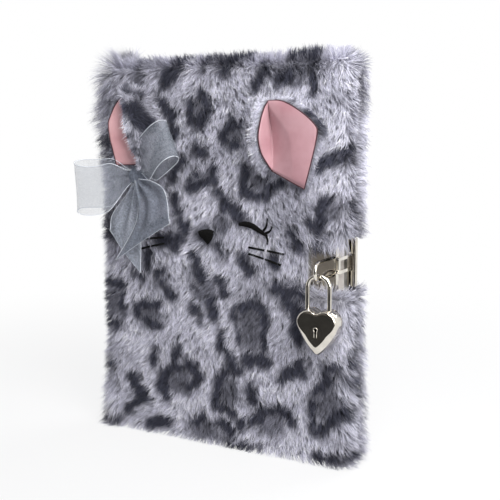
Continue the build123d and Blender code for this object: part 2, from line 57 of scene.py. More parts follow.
# Root surface of the pile: the woven back of the plush
ROOT_Y = 11.2
ROOT_FORE = 76.5
ROOT_SPINE = -77.5
ROOT_TOP = 217.0
ROOT_FOOT = 1.0
EDGE_R = 4.5
SPINE_R = 8.0
SPINE_HALF = ROOT_Y - SPINE_R
# Lengths along the wall, from the spine over the face to the fore-edge, and the joints' lap on the spine
FACE_X0 = ROOT_SPINE + SPINE_R
FACE_X1 = ROOT_FORE - EDGE_R
BEND_S0 = FACE_X0 - SPINE_R * math.pi / 2
BEND_S1 = FACE_X1 + EDGE_R * math.pi / 2
JOINT_S = -58.0
LAP = 0.6
# Place of each cover's seam on the fore-edge, front and back, and where its plush ends inside
SEAM = {-1: -3.6, 1: -2.4}
LIP_IN = 70.3
# Where the plush is cut away at the clasp, and how far the front's pile hangs into that cut
NOTCH_X = 54.0
NOTCH_Z = (94.5, 124.5)
OVERHANG = 13.0
# Thickness of the woven back
CLOTH_T = 1.0


# Small tools
def srgb(r, g, b):
    """Linear colour of an 8-bit screen colour."""
    c = np.array([r, g, b], float) / 255
    return np.where(c <= 0.04045, c / 12.92, ((c + 0.055) / 1.055) ** 2.4)


def cell_hash(i, j, seed):
    """A steady pseudo-random number from 0 to 1 for each cell."""
    v = np.sin(i * 127.1 + j * 311.7 + seed * 74.7) * 43758.5453
    return v - np.floor(v)


def noise(x, y, seed):
    """Smooth noise from -1 to 1."""
    i, j = np.floor(x), np.floor(y)
    u, v = x - i, y - j
    u, v = u * u * (3 - 2 * u), v * v * (3 - 2 * v)
    low = cell_hash(i, j, seed) * (1 - u) + cell_hash(i + 1, j, seed) * u
    high = cell_hash(i, j + 1, seed) * (1 - u) + cell_hash(i + 1, j + 1, seed) * u
    return 2 * (low * (1 - v) + high * v) - 1


def ramp(a, b, x):
    """Smooth step from 0 at a to 1 at b."""
    q = np.clip((x - a) / (b - a), 0, 1)
    return q * q * (3 - 2 * q)


def unit(v):
    """Vectors brought to length 1."""
    return v / np.maximum(np.linalg.norm(v, axis=-1, keepdims=True), 1e-9)


def curve(points, count):
    """A smooth line through points, at evenly spaced parameters."""
    p = np.array(points, float)
    p = np.vstack([2 * p[0] - p[1], p, 2 * p[-1] - p[-2]])
    n = len(p) - 3
    t = np.linspace(0, n, count)
    k = np.clip(t.astype(int), 0, n - 1)
    f = (t - k)[:, None]
    a, b, c, d = p[k], p[k + 1], p[k + 2], p[k + 3]
    return 0.5 * (2 * b + (c - a) * f + (2 * a - 5 * b + 4 * c - d) * f**2 + (3 * b - 3 * c + d - a) * f**3)


def run_lengths(line):
    """Length along a line up to each of its points."""
    return np.concatenate([[0], np.cumsum(np.linalg.norm(np.diff(line, axis=0), axis=1))])


def build_object(name, verts, corners, starts, material, body=None, smooth=True):
    """A mesh object from vertex positions in millimetres and flat lists of face corners."""
    mesh = bpy.data.meshes.new(name)
    verts = np.ascontiguousarray(verts, dtype=np.float32).reshape(-1, 3) * MM
    mesh.vertices.add(len(verts))
    mesh.vertices.foreach_set("co", verts.ravel())
    mesh.loops.add(len(corners))
    mesh.loops.foreach_set("vertex_index", np.asarray(corners, dtype=np.int32))
    mesh.polygons.add(len(starts))
    mesh.polygons.foreach_set("loop_start", np.asarray(starts, dtype=np.int32))
    mesh.polygons.foreach_set("use_smooth", np.full(len(starts), smooth))
    mesh.update(calc_edges=True)
    mesh.materials.append(material)
    obj = bpy.data.objects.new(name, mesh)
    bpy.context.scene.collection.objects.link(obj)
    if body:
        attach(obj, body)
    return obj


def from_faces(name, verts, faces, material, body=None, slot=None, smooth=True):
    """A mesh object from a list of faces."""
    sizes = np.array([len(f) for f in faces])
    starts = np.concatenate([[0], np.cumsum(sizes)[:-1]])
    corners = np.concatenate([np.asarray(f) for f in faces])
    return build_object(name, verts, corners, starts, material, body, smooth)


def grid_faces(rows, cols, close=False):
    """Corner lists for a grid of rows by cols points."""
    faces = []
    for i in range(rows - 1):
        for j in range(cols if close else cols - 1):
            a, b = i * cols + j, i * cols + (j + 1) % cols
            faces.append((a, b, b + cols, a + cols))
    return faces


def barrel_faces(rows, cols):
    """Corner lists for closed rings with a cap at both ends."""
    caps = [tuple(range(cols))[::-1], tuple(range((rows - 1) * cols, rows * cols))]
    return grid_faces(rows, cols, True) + caps


def paint(obj, colours):
    """Stores one linear colour for each vertex."""
    layer = obj.data.color_attributes.new("pelt", "FLOAT_COLOR", "POINT")
    rgba = np.ones((len(colours), 4), np.float32)
    rgba[:, :3] = colours
    layer.data.foreach_set("color", rgba.ravel())


def map_uv(obj, points):
    """Lays a texture map flat over the piece, from one pair of numbers for each vertex."""
    uv = obj.data.uv_layers.new(name="OFBake")
    low, high = points.min(0), points.max(0)
    flat = 0.01 + 0.98 * (points - low) / np.maximum(high - low, 1e-6)
    index = np.empty(len(obj.data.loops), np.int32)
    obj.data.loops.foreach_get("vertex_index", index)
    uv.data.foreach_set("uv", flat[index].astype(np.float32).ravel())


def solidify(obj, thickness, offset=-1.0):
    """Gives a sheet its thickness."""
    made = obj.modifiers.new("thickness", "SOLIDIFY")
    made.thickness = thickness * MM
    made.offset = offset


def tube(points, radius, sides):
    """Vertices and faces of a round thread along a line of points, closed at both ends."""
    p = np.array(points, float)
    along = unit(np.gradient(p, axis=0))
    ref = np.where(np.abs(along[:, 1:2]) > 0.9, [[1.0, 0, 0]], [[0, 1.0, 0]])
    side = unit(np.cross(along, ref))
    up = np.cross(side, along)
    rings = []
    for k in range(sides):
        a = 2 * math.pi * k / sides
        rings.append(p + radius * (math.cos(a) * side + math.sin(a) * up))
    return np.stack(rings, 1).reshape(-1, 3), barrel_faces(len(p), sides)


def join(parts):
    """One list of vertices and faces from several."""
    verts, faces, first = [], [], 0
    for v, f in parts:
        verts.append(v)
        faces += [tuple(first + k for k in face) for face in f]
        first += len(v)
    return np.vstack(verts), faces


# Materials
class Tree:
    """A node tree, with short ways to add nodes and to link them."""

    def __init__(self, tree):
        self.nodes, self.links = tree.nodes, tree.links

    def feed(self, socket, value):
        """Links a socket to another one, or sets its value."""
        if isinstance(value, bpy.types.NodeSocket):
            self.links.new(value, socket)
        else:
            socket.default_value = value

    def set(self, node, **values):
        """Feeds a node's inputs by name, with underscores for spaces."""
        for name, value in values.items():
            self.feed(node.inputs[name.replace("_", " ")], value)

    def add(self, kind, *fed, **values):
        """A node with its properties set and its inputs fed, by place or by name."""
        node = self.nodes.new(kind)
        for name, value in values.items():
            if hasattr(node, name):
                setattr(node, name, value)
            else:
                self.set(node, **{name: value})
        for socket, value in zip(node.inputs, fed):
            self.feed(socket, value)
        return node

    def coords(self, stretch=(1, 1, 1)):
        """The object's own coordinates, stretched."""
        place = self.add("ShaderNodeTexCoord").outputs["Object"]
        return self.add("ShaderNodeMapping", Vector=place, Scale=stretch).outputs["Vector"]

    def cloud(self, scale, detail=2, stretch=(1, 1, 1), **more):
        """Cloudy noise."""
        node = self.add("ShaderNodeTexNoise", Vector=self.coords(stretch), Scale=scale, Detail=detail, **more)
        return node.outputs["Fac"]

    def wave(self, direction, scale, distortion, stretch=(1, 1, 1)):
        """Soft bands."""
        node = self.add("ShaderNodeTexWave", bands_direction=direction, Scale=scale, Distortion=distortion)
        self.set(node, Vector=self.coords(stretch))
        return node.outputs["Fac"]

    def calc(self, operation, first, second):
        """Two numbers brought into one."""
        return self.add("ShaderNodeMath", first, second, operation=operation).outputs["Value"]

    def scaled(self, colour, factor):
        """A colour made lighter or darker."""
        return self.add("ShaderNodeVectorMath", colour, operation="SCALE", Scale=factor).outputs["Vector"]

    def span(self, factor, low, high):
        """A factor from 0 to 1 stretched between two numbers."""
        return self.add("ShaderNodeMapRange", Value=factor, To_Min=low, To_Max=high).outputs["Result"]

    def shades(self, factor, *stops):
        """A colour ramp from linear colours."""
        node = self.add("ShaderNodeValToRGB", Fac=factor)
        marks = node.color_ramp.elements
        while len(marks) < len(stops):
            marks.new(0.5)
        for mark, (place, colour) in zip(marks, stops):
            mark.position = place
            mark.color = (*colour, 1)
        return node.outputs["Color"]

    def relief(self, shader, height, strength, distance):
        """A bump on a shader."""
        node = self.add("ShaderNodeBump", Strength=strength, Distance=distance * MM, Height=height)
        self.set(shader, Normal=node.outputs["Normal"])

    def blend(self, share, first, second):
        """A mix of two shaders, as the material's surface."""
        mix = self.add("ShaderNodeMixShader", share, first.outputs[0], second.outputs[0])
        self.set(self.nodes["Material Output"], Surface=mix.outputs["Shader"])

    def seen_directly(self):
        """1 for rays that show the background: straight, mirrored or through glass."""
        path = self.add("ShaderNodeLightPath").outputs
        first = self.calc("MAXIMUM", path["Is Camera Ray"], path["Is Glossy Ray"])
        return self.calc("MAXIMUM", first, path["Is Transmission Ray"])


def new_look(name):
    """A new material, its node tree and its shader."""
    mat = bpy.data.materials.new(name)
    mat.use_nodes = True
    tree = Tree(mat.node_tree)
    return mat, tree, tree.nodes["Principled BSDF"]


def fur_material(name, gain, rough, sheen, through):
    """Fibres in the painted print, with small changes of tone along them, that pass some light."""
    mat, tree, shader = new_look(name)
    painted = tree.add("ShaderNodeAttribute", attribute_name="pelt").outputs["Color"]
    grain = tree.cloud(260, 3, (1, 1, 0.35))
    colour = tree.scaled(painted, tree.span(grain, gain - 0.22, gain + 0.22))
    tree.set(shader, Base_Color=colour, Roughness=tree.span(grain, rough - 0.1, rough + 0.1),
             Specular_IOR_Level=0.3, Sheen_Weight=sheen, Sheen_Roughness=0.45,
             Sheen_Tint=(0.86, 0.87, 0.95, 1))
    tree.blend(through, shader, tree.add("ShaderNodeBsdfTranslucent", Color=colour))
    return mat


def satin_material(name, *stops):
    """Pink satin: a fine twill with long floats, soft uneven shine."""
    mat, tree, shader = new_look(name)
    cloud = tree.cloud(75, 4)
    tree.set(shader, Base_Color=tree.shades(cloud, *stops), Roughness=tree.span(cloud, 0.36, 0.52),
             Sheen_Weight=0.1, Sheen_Tint=(1.0, 0.86, 0.88, 1), Anisotropic=0.4)
    tree.relief(shader, tree.wave("DIAGONAL", 620, 0.6, (1, 1, 1.3)), 0.25, 0.08)
    return mat


def organza_material(name, low, high, colour, light):
    """Sheer plain weave: crossed fine threads, with open gaps and a speckle of tone between them."""
    mat, tree, shader = new_look(name)
    threads = tree.calc("MAXIMUM", tree.wave("X", 640, 1.2), tree.wave("Z", 640, 1.2))
    cloud, grain = tree.cloud(150, 8, Roughness=0.8), tree.cloud(900, 1)
    weave = tree.calc("MULTIPLY", threads, tree.span(grain, 0.1, 1.9))
    tint = tree.shades(cloud, (0.3, colour), (0.7, light))
    tree.set(shader, Base_Color=tree.scaled(tint, tree.span(grain, 0.45, 1.55)),
             Alpha=tree.span(weave, low, high), Roughness=0.5, Specular_IOR_Level=0.25)
    tree.relief(shader, threads, 0.3, 0.1)
    tree.blend(0.08, shader, tree.add("ShaderNodeBsdfTranslucent", Color=(0.42, 0.45, 0.5, 1)))
    return mat


def thread_material(name, dark, light, scale, rough, shine):
    """Twisted thread: slanted plies with light and dark sides."""
    mat, tree, shader = new_look(name)
    twist = tree.wave("DIAGONAL", scale, 1.5)
    tree.set(shader, Base_Color=tree.shades(twist, (0.2, dark), (0.8, light)), Roughness=rough,
             Specular_IOR_Level=shine)
    tree.relief(shader, twist, 0.5, 0.06)
    return mat


def metal_material(name, dull, bright, rough, scale, painted_shade_from=None):
    """Plated metal with faint polishing marks and cloudy wear, painted near black behind a depth where one is
    given: painted shade deep in the keyhole.
    """
    mat, tree, shader = new_look(name)
    cloud, marks = tree.cloud(180, 5), tree.cloud(scale, 2, (8, 8, 1))
    colour = tree.shades(cloud, (0.3, dull), (0.7, bright))
    # Painted shade: past the given depth the colour turns near black
    if painted_shade_from is not None:
        depth = tree.add("ShaderNodeSeparateXYZ", Vector=tree.coords()).outputs["Y"]
        deep = tree.add("ShaderNodeMapRange", Value=depth, From_Min=(painted_shade_from + 0.15) * MM,
                        From_Max=(painted_shade_from + 0.6) * MM)
        mix = tree.add("ShaderNodeMix", data_type="RGBA", Factor=deep.outputs["Result"], A=colour,
                       B=(0.006, 0.006, 0.006, 1))
        colour = mix.outputs["Result"]
    tree.set(shader, Base_Color=colour, Roughness=tree.span(marks, rough * 0.6, rough * 1.5), Metallic=1.0)
    tree.relief(shader, marks, 0.06, 0.03)
    return mat


def leaf_material():
    """Cream paper whose cut edges show single leaves."""
    mat, tree, shader = new_look("paper")
    lines, fibre = tree.wave("Y", 1500, 2.5, (0, 1, 0)), tree.cloud(500)
    both = tree.calc("MULTIPLY", tree.span(lines, 0.7, 1.0), tree.span(fibre, 0.85, 1.1))
    colour = tree.shades(both, (0.3, srgb(180, 174, 160)), (0.9, srgb(226, 221, 208)))
    tree.set(shader, Base_Color=colour, Roughness=0.85)
    tree.relief(shader, lines, 0.4, 0.05)
    return mat


def flecked_material(name, dark, light, scale, rough, relief):
    """Matt board, paper or cloth with flecks and fibres."""
    mat, tree, shader = new_look(name)
    fleck = tree.cloud(scale, 6, (1, 1, 0.6))
    tree.set(shader, Base_Color=tree.shades(fleck, (0.32, dark), (0.68, light)),
             Roughness=tree.span(fleck, rough - 0.1, rough + 0.08))
    tree.relief(shader, fleck, 0.4, relief)
    return mat


FUR = fur_material("fur", 1.0, 0.62, 0.25, 0.3)
# The plush's backing carries the print darkened to 0.62: painted shade down between the strands
PAINTED_SHADE_BACKING = fur_material("plush_backing_painted_shade", 0.62, 0.85, 0.1, 0.0)
SATIN = satin_material(
    "satin", (0.25, srgb(156, 112, 119)), (0.5, srgb(171, 130, 136)), (0.78, srgb(181, 143, 149)))
# A lighter copy of the satin for the left ear's lining: painted light against the shade from its flap
PAINTED_LIGHT_SATIN = satin_material(
    "satin_painted_light", (0.25, srgb(190, 139, 142)), (0.5, srgb(205, 156, 159)), (0.78, srgb(214, 168, 171)))
ORGANZA = organza_material("organza", 0.08, 0.33, srgb(148, 153, 164), srgb(174, 179, 188))
LOOP_ORGANZA = organza_material("organza_doubled", 0.28, 0.62, srgb(118, 123, 132), srgb(142, 147, 155))
TAIL_ORGANZA = organza_material("organza_folded", 0.5, 0.86, srgb(102, 107, 118), srgb(122, 127, 138))
# A lighter copy of the tails' organza for the left tail: painted light, as if it were lit more than the right
# tail
PAINTED_LIGHT_ORGANZA = organza_material("organza_painted_light", 0.46, 0.8, srgb(142, 148, 159), srgb(164, 169, 179))
KNOT = organza_material("organza_gathered", 0.55, 0.85, srgb(100, 107, 120), srgb(136, 142, 155))
SELVEDGE = thread_material("selvedge", srgb(186, 192, 202), srgb(232, 235, 240), 500, 0.35, 0.5)
STITCH = thread_material("stitch", srgb(4, 4, 4), srgb(17, 16, 16), 700, 0.8, 0.14)
DARK_RIM_THREAD = thread_material("dark_rim_thread", srgb(48, 28, 33), srgb(84, 52, 58), 700, 0.7, 0.25)
NICKEL_LOOK = (srgb(206, 201, 192), srgb(228, 223, 213), 0.05, 140)
NICKEL = metal_material("nickel", *NICKEL_LOOK)
STEEL = metal_material("steel", srgb(150, 150, 152), srgb(190, 190, 192), 0.28, 90)
PAPER = leaf_material()
ENDPAPER = flecked_material("endpaper", srgb(212, 206, 205), srgb(232, 228, 226), 420, 0.8, 0.03)
BOARD = flecked_material("board", srgb(112, 110, 108), srgb(168, 165, 160), 300, 0.9, 0.08)
CLOTH = flecked_material("cloth", srgb(190, 190, 196), srgb(226, 226, 230), 800, 0.85, 0.08)


# The print
# Dark blotches on the front: one stroke each, x and z of both ends and a radius
STROKES = [
    (-34.5, 206, -22, 218.5, 5.2), (-20, 221, -14, 223, 3.6), (-9, 214, -2, 218, 3.8), (5, 213, 18, 219, 4.3),
    (30.5, 211, 25.5, 203, 4.0), (46, 215, 60, 216, 3.4), (38, 206, 45, 208, 3.8), (58, 214, 59, 201, 3.8),
    (-9.5, 199, -5, 191, 3.8), (-5, 191, -12, 183.5, 4.2), (-16, 193.5, -17, 183, 2.8),
    (10, 184, 5, 176, 4.2), (6, 174, 14, 171, 3.0), (11, 181, 15, 182, 2.3), (23, 181, 25, 170, 2.8),
    (-12, 170, -7, 166, 4.0), (-17, 148, -2, 153, 3.9), (-2, 153, -1, 159, 3.3), (-18, 153, -12, 156, 2.4),
    (19, 158, 18, 148, 3.9), (18, 146, 31, 144, 3.9), (31, 149, 40, 151, 3.1),
    (63, 162, 73, 164, 4.4), (73, 167, 82, 170, 3.5), (65, 144, 63, 133, 4.3), (63, 133, 61, 122, 4.3),
    (58, 128, 57, 132, 2.8), (1, 144, 6, 141, 3.8), (6, 139, 16, 131, 4.6), (-24, 128, -20, 124, 4.6),
    (-37, 117, -25, 119, 4.8), (-25, 119, -27, 113, 4.0), (-28, 143, -25, 133, 3.3),
    (-30, 154, -23, 162, 3.9), (-37, 196, -29.5, 188, 4.2), (-29.5, 188, -28, 176, 3.4),
    (-73, 222, -71, 223, 2.4), (-59, 222, -58, 223, 2.0), (-79, 133, -73, 126, 3.9),
    (-77, 123, -70, 118, 4.3), (-85, 194, -80, 186, 3.2), (-78, 176, -80, 171, 2.8),
    (47, 124, 51, 118, 4.0), (0, 116, 4, 111, 2.8),
    (-48, 108, -47, 99, 3.8), (-55, 95, -52, 94, 3.8), (-78, 89, -69, 89, 4.3), (-67, 88, -66, 71, 3.2),
    (-77, 65, -70, 64, 4.3), (-56, 77, -54, 71, 3.3), (-53, 78, -40, 79, 3.8), (-50, 68, -39.5, 65, 3.9),
    (-41, 96, -37, 99, 3.3), (-37, 91, -29.5, 84, 3.3), (-14.5, 108, -10, 94, 4.3), (-16, 91, -12, 88, 3.8),
    (1, 95, 5, 89, 3.9), (-4, 84, -2, 76, 4.2), (-14.5, 79, -11, 71, 3.4), (17, 109, 21, 103, 4.3),
    (35, 110, 38, 107, 2.8), (37, 94, 53, 93.5, 4.8), (42, 89, 50, 83, 4.2), (49, 81, 50, 68, 4.2),
    (13, 81, 23, 85, 3.9), (23, 85, 30.5, 80, 3.9), (30.5, 80, 30.5, 61, 3.2), (11, 79, 15, 63, 2.6),
    (21, 53, 30.5, 53.5, 5.2), (2, 67, 3, 58, 3.4), (3, 58, 8, 53, 3.4), (10, 49, 6, 43, 4.3),
    (1, 39, -1, 26, 3.9), (-1, 24, 10, 21, 3.4), (8, 44, 15, 46, 2.9), (21, 38.5, 24, 31, 3.9),
    (-43, 51, -44.5, 43, 3.1), (-25, 55, -28, 48.5, 3.4), (-20, 45, -12, 39, 4.2), (-12, 39, -19, 31, 4.2),
    (-34.5, 39, -38, 28, 4.7), (-38, 28, -34.5, 23.5, 3.9), (-34, 41, -24, 43, 3.3),
    (-59, 31, -51, 21, 5.2), (-51, 21, -62, 13, 3.9), (-79, 41, -75, 38, 4.3), (-81, 7, -70, 5, 3.6),
    (-45, 6, -35, 8.5, 4.4), (-10, 15, -14, 11, 3.3), (3, 14, 10, 9, 3.7), (17, 18, 15, 13, 2.9),
    (23, 19, 28, 20, 3.8), (30, 24, 41, 27, 3.7), (43, 28, 47, 20, 3.9), (40, 44, 46, 49, 3.7),
    (46, 49, 53, 54, 4.3), (53, 54, 54, 48.5, 3.4), (67, 54, 72, 53.5, 3.4), (68, 49, 61, 39, 4.3),
    (59, 38, 60, 23, 3.3), (63, 18, 75, 31, 3.9), (63, 4, 83, 6, 3.6), (8, 2, 27, 3, 2.8),
    # The last stroke below darkens the pile just left of the left ear's tip
    (79, 139, 84, 129, 4.2), (80, 58, 85, 52, 4.4), (80, 47, 84, 42, 4.0), (-71, 199, -65, 201, 2.4),
]
# Paler middles of the rosettes: x, z and half sizes
FILLS = [
    (48, 209, 12, 6), (-11, 191.5, 9, 9), (8, 178, 6, 7), (24, 175, 4, 7), (-9, 153.5, 9, 6),
    (28, 151, 10, 6), (69, 138, 5, 7), (4, 128, 5, 6), (-73, 77, 9, 11), (-47, 72.5, 10, 5), (-37, 92, 6, 5),
    (-6, 89, 8, 8), (-8, 121, 9, 6), (23, 71, 9, 16), (6, 33, 9, 10), (-26, 35.5, 11, 9), (-8, 8, 12, 7),
    (35, 20, 10, 8), (67, 34.5, 8, 11), (45, 88, 7, 6), (12, 178, 6, 5), (-30, 119, 6, 5), (-52, 208, 5, 7),
]
# Steps between scattered rosettes, the softness of a spot's edge, and the tones of middles and of haze
ROSETTE_S, ROSETTE_T = 27, 25
SPOT_EDGE = 2.6
FILL_TONE, HAZE_TONE = 0.8, 0.3


def rosettes(seed, s0, s1, t0, t1):
    """Rosettes of broken rings and single spots, scattered over a stretch of cloth."""
    draw = np.random.default_rng(seed)
    strokes, fills = [], []
    for j in range(int((t1 - t0) / ROSETTE_T) + 1):
        for i in range(int((s1 - s0) / ROSETTE_S) + 1):
            s = s0 + (i + 0.5 * (j % 2) + 0.3 * draw.uniform(-1, 1)) * ROSETTE_S
            t = t0 + (j + 0.25 * draw.uniform(-1, 1)) * ROSETTE_T
            a, b, turn = draw.uniform(5.5, 9), draw.uniform(6.5, 10.5), draw.uniform(0, math.pi)
            fills.append((s, t, a, b))
            start = draw.uniform(0, 2 * math.pi)
            for k in range(3):
                w0 = start + k * 2.1
                ends = []
                for w in (w0, w0 + draw.uniform(0.7, 1.5)):
                    x, y = a * math.cos(w), b * math.sin(w)
                    ends.append(s + x * math.cos(turn) - y * math.sin(turn))
                    ends.append(t + x * math.sin(turn) + y * math.cos(turn))
                strokes.append((*ends, draw.uniform(2.8, 4.4)))
            x, y = s + ROSETTE_S / 2 + draw.uniform(-3, 3), t + draw.uniform(-4, 4)
            strokes.append((x, y, x + draw.uniform(-4, 4), y + draw.uniform(-5, 5), draw.uniform(2.0, 3.2)))
    return strokes, fills


def print_level(s, t, strokes, fills):
    """How dark the print is, from 0 to 1, at places on the cloth."""
    wobble = 1.7 * noise(s / 4.2, t / 4.2, 5) + 0.9 * noise(s / 1.9, t / 1.9, 6)
    level = np.zeros_like(s)
    for x0, z0, x1, z1, r in strokes:
        dx, dz = x1 - x0, z1 - z0
        along = np.clip(((s - x0) * dx + (t - z0) * dz) / max(dx * dx + dz * dz, 1e-6), 0, 1)
        gap = np.hypot(s - x0 - along * dx, t - z0 - along * dz) - r + wobble
        level = np.maximum(level, ramp(SPOT_EDGE, -SPOT_EDGE, gap))
    for x, z, rx, rz in fills:
        gap = (np.hypot((s - x) / rx, (t - z) / rz) - 1) * min(rx, rz) + wobble
        level = np.maximum(level, FILL_TONE * ramp(3.4, -2.8, gap))
    haze = HAZE_TONE * ramp(-0.1, 0.8, noise(s / 15, t / 15, 57) + 0.4 * noise(s / 5, t / 5, 58))
    return np.maximum(level, haze)


LIGHT_FUR = srgb(220, 219, 231)
DARK_FUR = srgb(69, 70, 84)
FRONT_PRINT = (STROKES + rosettes(3, -130, -88, 0, 225)[0], FILLS)
BACK_PRINT = rosettes(8, -100, 100, -5, 235)


def print_colour(level):
    """Colours between the light and the dark fur."""
    return LIGHT_FUR * (1 - level[:, None]) + DARK_FUR * level[:, None]


def fur_colour(level):
    """Colour of strands from the print's darkness, a little different for each."""
    return print_colour(level) * np.clip(rng.normal(1.0, 0.2, len(level)), 0.5, 1.5)[:, None]


# The shell that the pile grows on
def wall(s, sign):
    """The cover's wall seen from above, from the spine's middle round the face to the fore-edge seam."""
    seam = sign * SEAM[sign]
    seam_s = BEND_S1 + ROOT_Y - EDGE_R - seam
    a = np.clip((s - BEND_S0) / SPINE_R, 0, math.pi / 2)
    b = np.clip((s - FACE_X1) / EDGE_R, 0, math.pi / 2)
    zero = 0 * s
    conds = [s < BEND_S0, s < FACE_X0, s < FACE_X1, s < BEND_S1, s < seam_s]
    x = np.select(conds, [
        ROOT_SPINE + zero, FACE_X0 - SPINE_R * np.cos(a), s, FACE_X1 + EDGE_R * np.sin(b), ROOT_FORE + zero,
    ], np.maximum(ROOT_FORE - (s - seam_s), LIP_IN))
    depth = np.select(conds, [
        s - BEND_S0 + SPINE_HALF, SPINE_HALF + SPINE_R * np.sin(a), ROOT_Y + zero,
        ROOT_Y - EDGE_R * (1 - np.cos(b)), ROOT_Y - EDGE_R - (s - BEND_S1),
    ], seam + zero)
    nx = np.select(conds, [-1 + zero, -np.cos(a), zero, np.sin(b), 1 + zero], zero)
    nd = np.select(conds, [zero, np.sin(a), 1 + zero, np.cos(b), zero], -1 + zero)
    return x, sign * depth, nx, sign * nd


def shell(s, t, sign):
    """Place, outward normal, across direction and up direction of the pile's root surface."""
    x, y, nx, ny = wall(s, sign)
    top, foot = t - (ROOT_TOP - EDGE_R), (ROOT_FOOT + EDGE_R) - t
    over = np.maximum(np.maximum(top, foot), 0)
    a = np.minimum(over / EDGE_R, math.pi / 2)
    inset = EDGE_R * (1 - np.cos(a)) + np.maximum(over - EDGE_R * math.pi / 2, 0)
    side = np.where(top > 0, 1.0, -1.0)
    z = np.where(top > 0, ROOT_TOP - EDGE_R * (1 - np.sin(a)),
                 np.where(foot > 0, ROOT_FOOT + EDGE_R * (1 - np.sin(a)), t))
    place = np.stack([x - nx * inset, y - ny * inset, z], -1)
    normal = np.stack([nx * np.cos(a), ny * np.cos(a), side * np.sin(a)], -1)
    across = np.stack([sign * ny, -sign * nx, 0 * s], -1)
    up = np.stack([-side * nx * np.sin(a), -side * ny * np.sin(a), np.cos(a)], -1)
    return place, normal, across, up


def turned_in(lip):
    """Length of cloth from a face's end round the edge and in, for a lip of some depth."""
    return EDGE_R * math.pi / 2 + lip - EDGE_R


def in_notch(place):
    """Whether places lie where the plush is cut away at the clasp."""
    x, z = place[..., 0], place[..., 2]
    return (x > NOTCH_X) & (z > NOTCH_Z[0]) & (z < NOTCH_Z[1])


def pelt(name, s_line, sign, prints, node, lip):
    """The woven back of the plush over one stretch of the wall, turned in at top and foot."""
    reach = turned_in(lip)
    t_line = np.concatenate([
        np.linspace(ROOT_FOOT + EDGE_R - reach, ROOT_FOOT + EDGE_R, 9)[:-1],
        np.linspace(ROOT_FOOT + EDGE_R, ROOT_TOP - EDGE_R, 66),
        np.linspace(ROOT_TOP - EDGE_R, ROOT_TOP - EDGE_R + reach, 9)[1:],
    ])
    s, t = np.meshgrid(s_line, t_line)
    place, normal, _, _ = shell(s, t, sign)
    place = place + normal * (0.35 * noise(s / 2.3, t / 2.3, 9))[..., None]
    hole = in_notch(place).ravel()
    faces = [f for f in grid_faces(*s.shape) if not all(hole[k] for k in f)]
    if sign > 0:
        faces = [f[::-1] for f in faces]
    obj = from_faces(name, place.reshape(-1, 3), faces, PAINTED_SHADE_BACKING, None, "plush")
    paint(obj, print_colour(print_level(s.ravel(), t.ravel() - 2, *prints)))
    solidify(obj, CLOTH_T)
    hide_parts(node)
    return obj


def clump(s, t, cell, seed):
    """The middle of the tuft that each strand belongs to."""
    i0, j0 = np.floor(s / cell), np.floor(t / cell)
    best = np.full_like(s, 1e9)
    cs, ct = s.copy(), t.copy()
    for di in (-1, 0, 1):
        for dj in (-1, 0, 1):
            i, j = i0 + di, j0 + dj
            x = (i + 0.5 + 0.9 * (cell_hash(i, j, seed) - 0.5)) * cell
            y = (j + 0.5 + 0.9 * (cell_hash(i, j, seed + 1) - 0.5)) * cell
            gap = np.hypot(s - x, t - y)
            near = gap < best
            best = np.where(near, gap, best)
            cs, ct = np.where(near, x, cs), np.where(near, y, ct)
    return cs, ct


# A strand: where its four cross-sections lie, their widths, and the painted shade along it from the dark root
# to the lighter tip
STEPS = np.array([0.0, 0.36, 0.7, 1.0])
TAPER = np.array([1.0, 0.95, 0.68])
TONE = np.array([0.34, 0.74, 1.0, 1.18])
STRAND_MAX = 38000
FLOOR_Z = 0.4


def pick(d, chosen):
    """Some strands of a set."""
    return {k: v[chosen] for k, v in d.items()}


def strand_at(d, q):
    """Where the strands are at a share q of their lengths: bent arcs that lean towards their tufts."""
    bend = np.where(np.abs(d["a1"] - d["a0"]) < 1e-3, 1e-3, d["a1"] - d["a0"])
    along = (np.sin(d["a0"] + bend * q) - np.sin(d["a0"])) / bend
    rise = (np.cos(d["a0"]) - np.cos(d["a0"] + bend * q)) / bend
    arc = along[:, None] * d["flow"] + rise[:, None] * d["normal"]
    return d["root"] + d["length"][:, None] * arc + d["lean"] * q**1.7


def strand_pieces(name, strands, body, uv_axis):
    """Mesh strands, in pieces small enough to keep whole: a tapered blade of three faces for each fibre."""
    made = []
    order = np.argsort(strands["root"][:, 2], kind="stable")
    count = max(1, math.ceil(len(order) / STRAND_MAX))
    for k, part in enumerate(np.array_split(order, count)):
        d, n = pick(strands, part), len(part)
        points = np.stack([strand_at(d, q) for q in STEPS], 1)
        points[..., 2] = np.maximum(points[..., 2], FLOOR_Z)
        roll = d["roll"][:, None]
        across = unit(np.cross(d["flow"], d["normal"])) * np.cos(roll) + d["normal"] * np.sin(roll)
        verts = np.empty((n, 7, 3))
        for j in range(3):
            half = across * (d["width"] * TAPER[j] / 2)[:, None]
            verts[:, 2 * j] = points[:, j] - half
            verts[:, 2 * j + 1] = points[:, j] + half
        verts[:, 6] = points[:, 3]
        corners = ((np.arange(n) * 7)[:, None] + np.array([0, 1, 3, 2, 2, 3, 5, 4, 4, 5, 6])).ravel()
        starts = ((np.arange(n) * 11)[:, None] + np.array([0, 4, 8])).ravel()
        label = name if count == 1 else f"{name}_{k + 1}"
        obj = build_object(label, verts, corners, starts, FUR, body)
        # Painted shade along each strand: roots darkened, tips lightened; lit takes part of the root shade
        # away
        shade_along = TONE[[0, 0, 1, 1, 2, 2, 3]][None, :]
        shade_along = shade_along + np.maximum(1 - shade_along, 0) * d["lit"][:, None]
        paint(obj, np.clip(d["colour"][:, None, :] * shade_along[..., None], 0, 0.95).reshape(-1, 3))
        flat = verts.reshape(-1, 3)
        map_uv(obj, np.stack([flat @ np.array(uv_axis), flat[:, 2]], -1))
        made.append(obj)
    return made


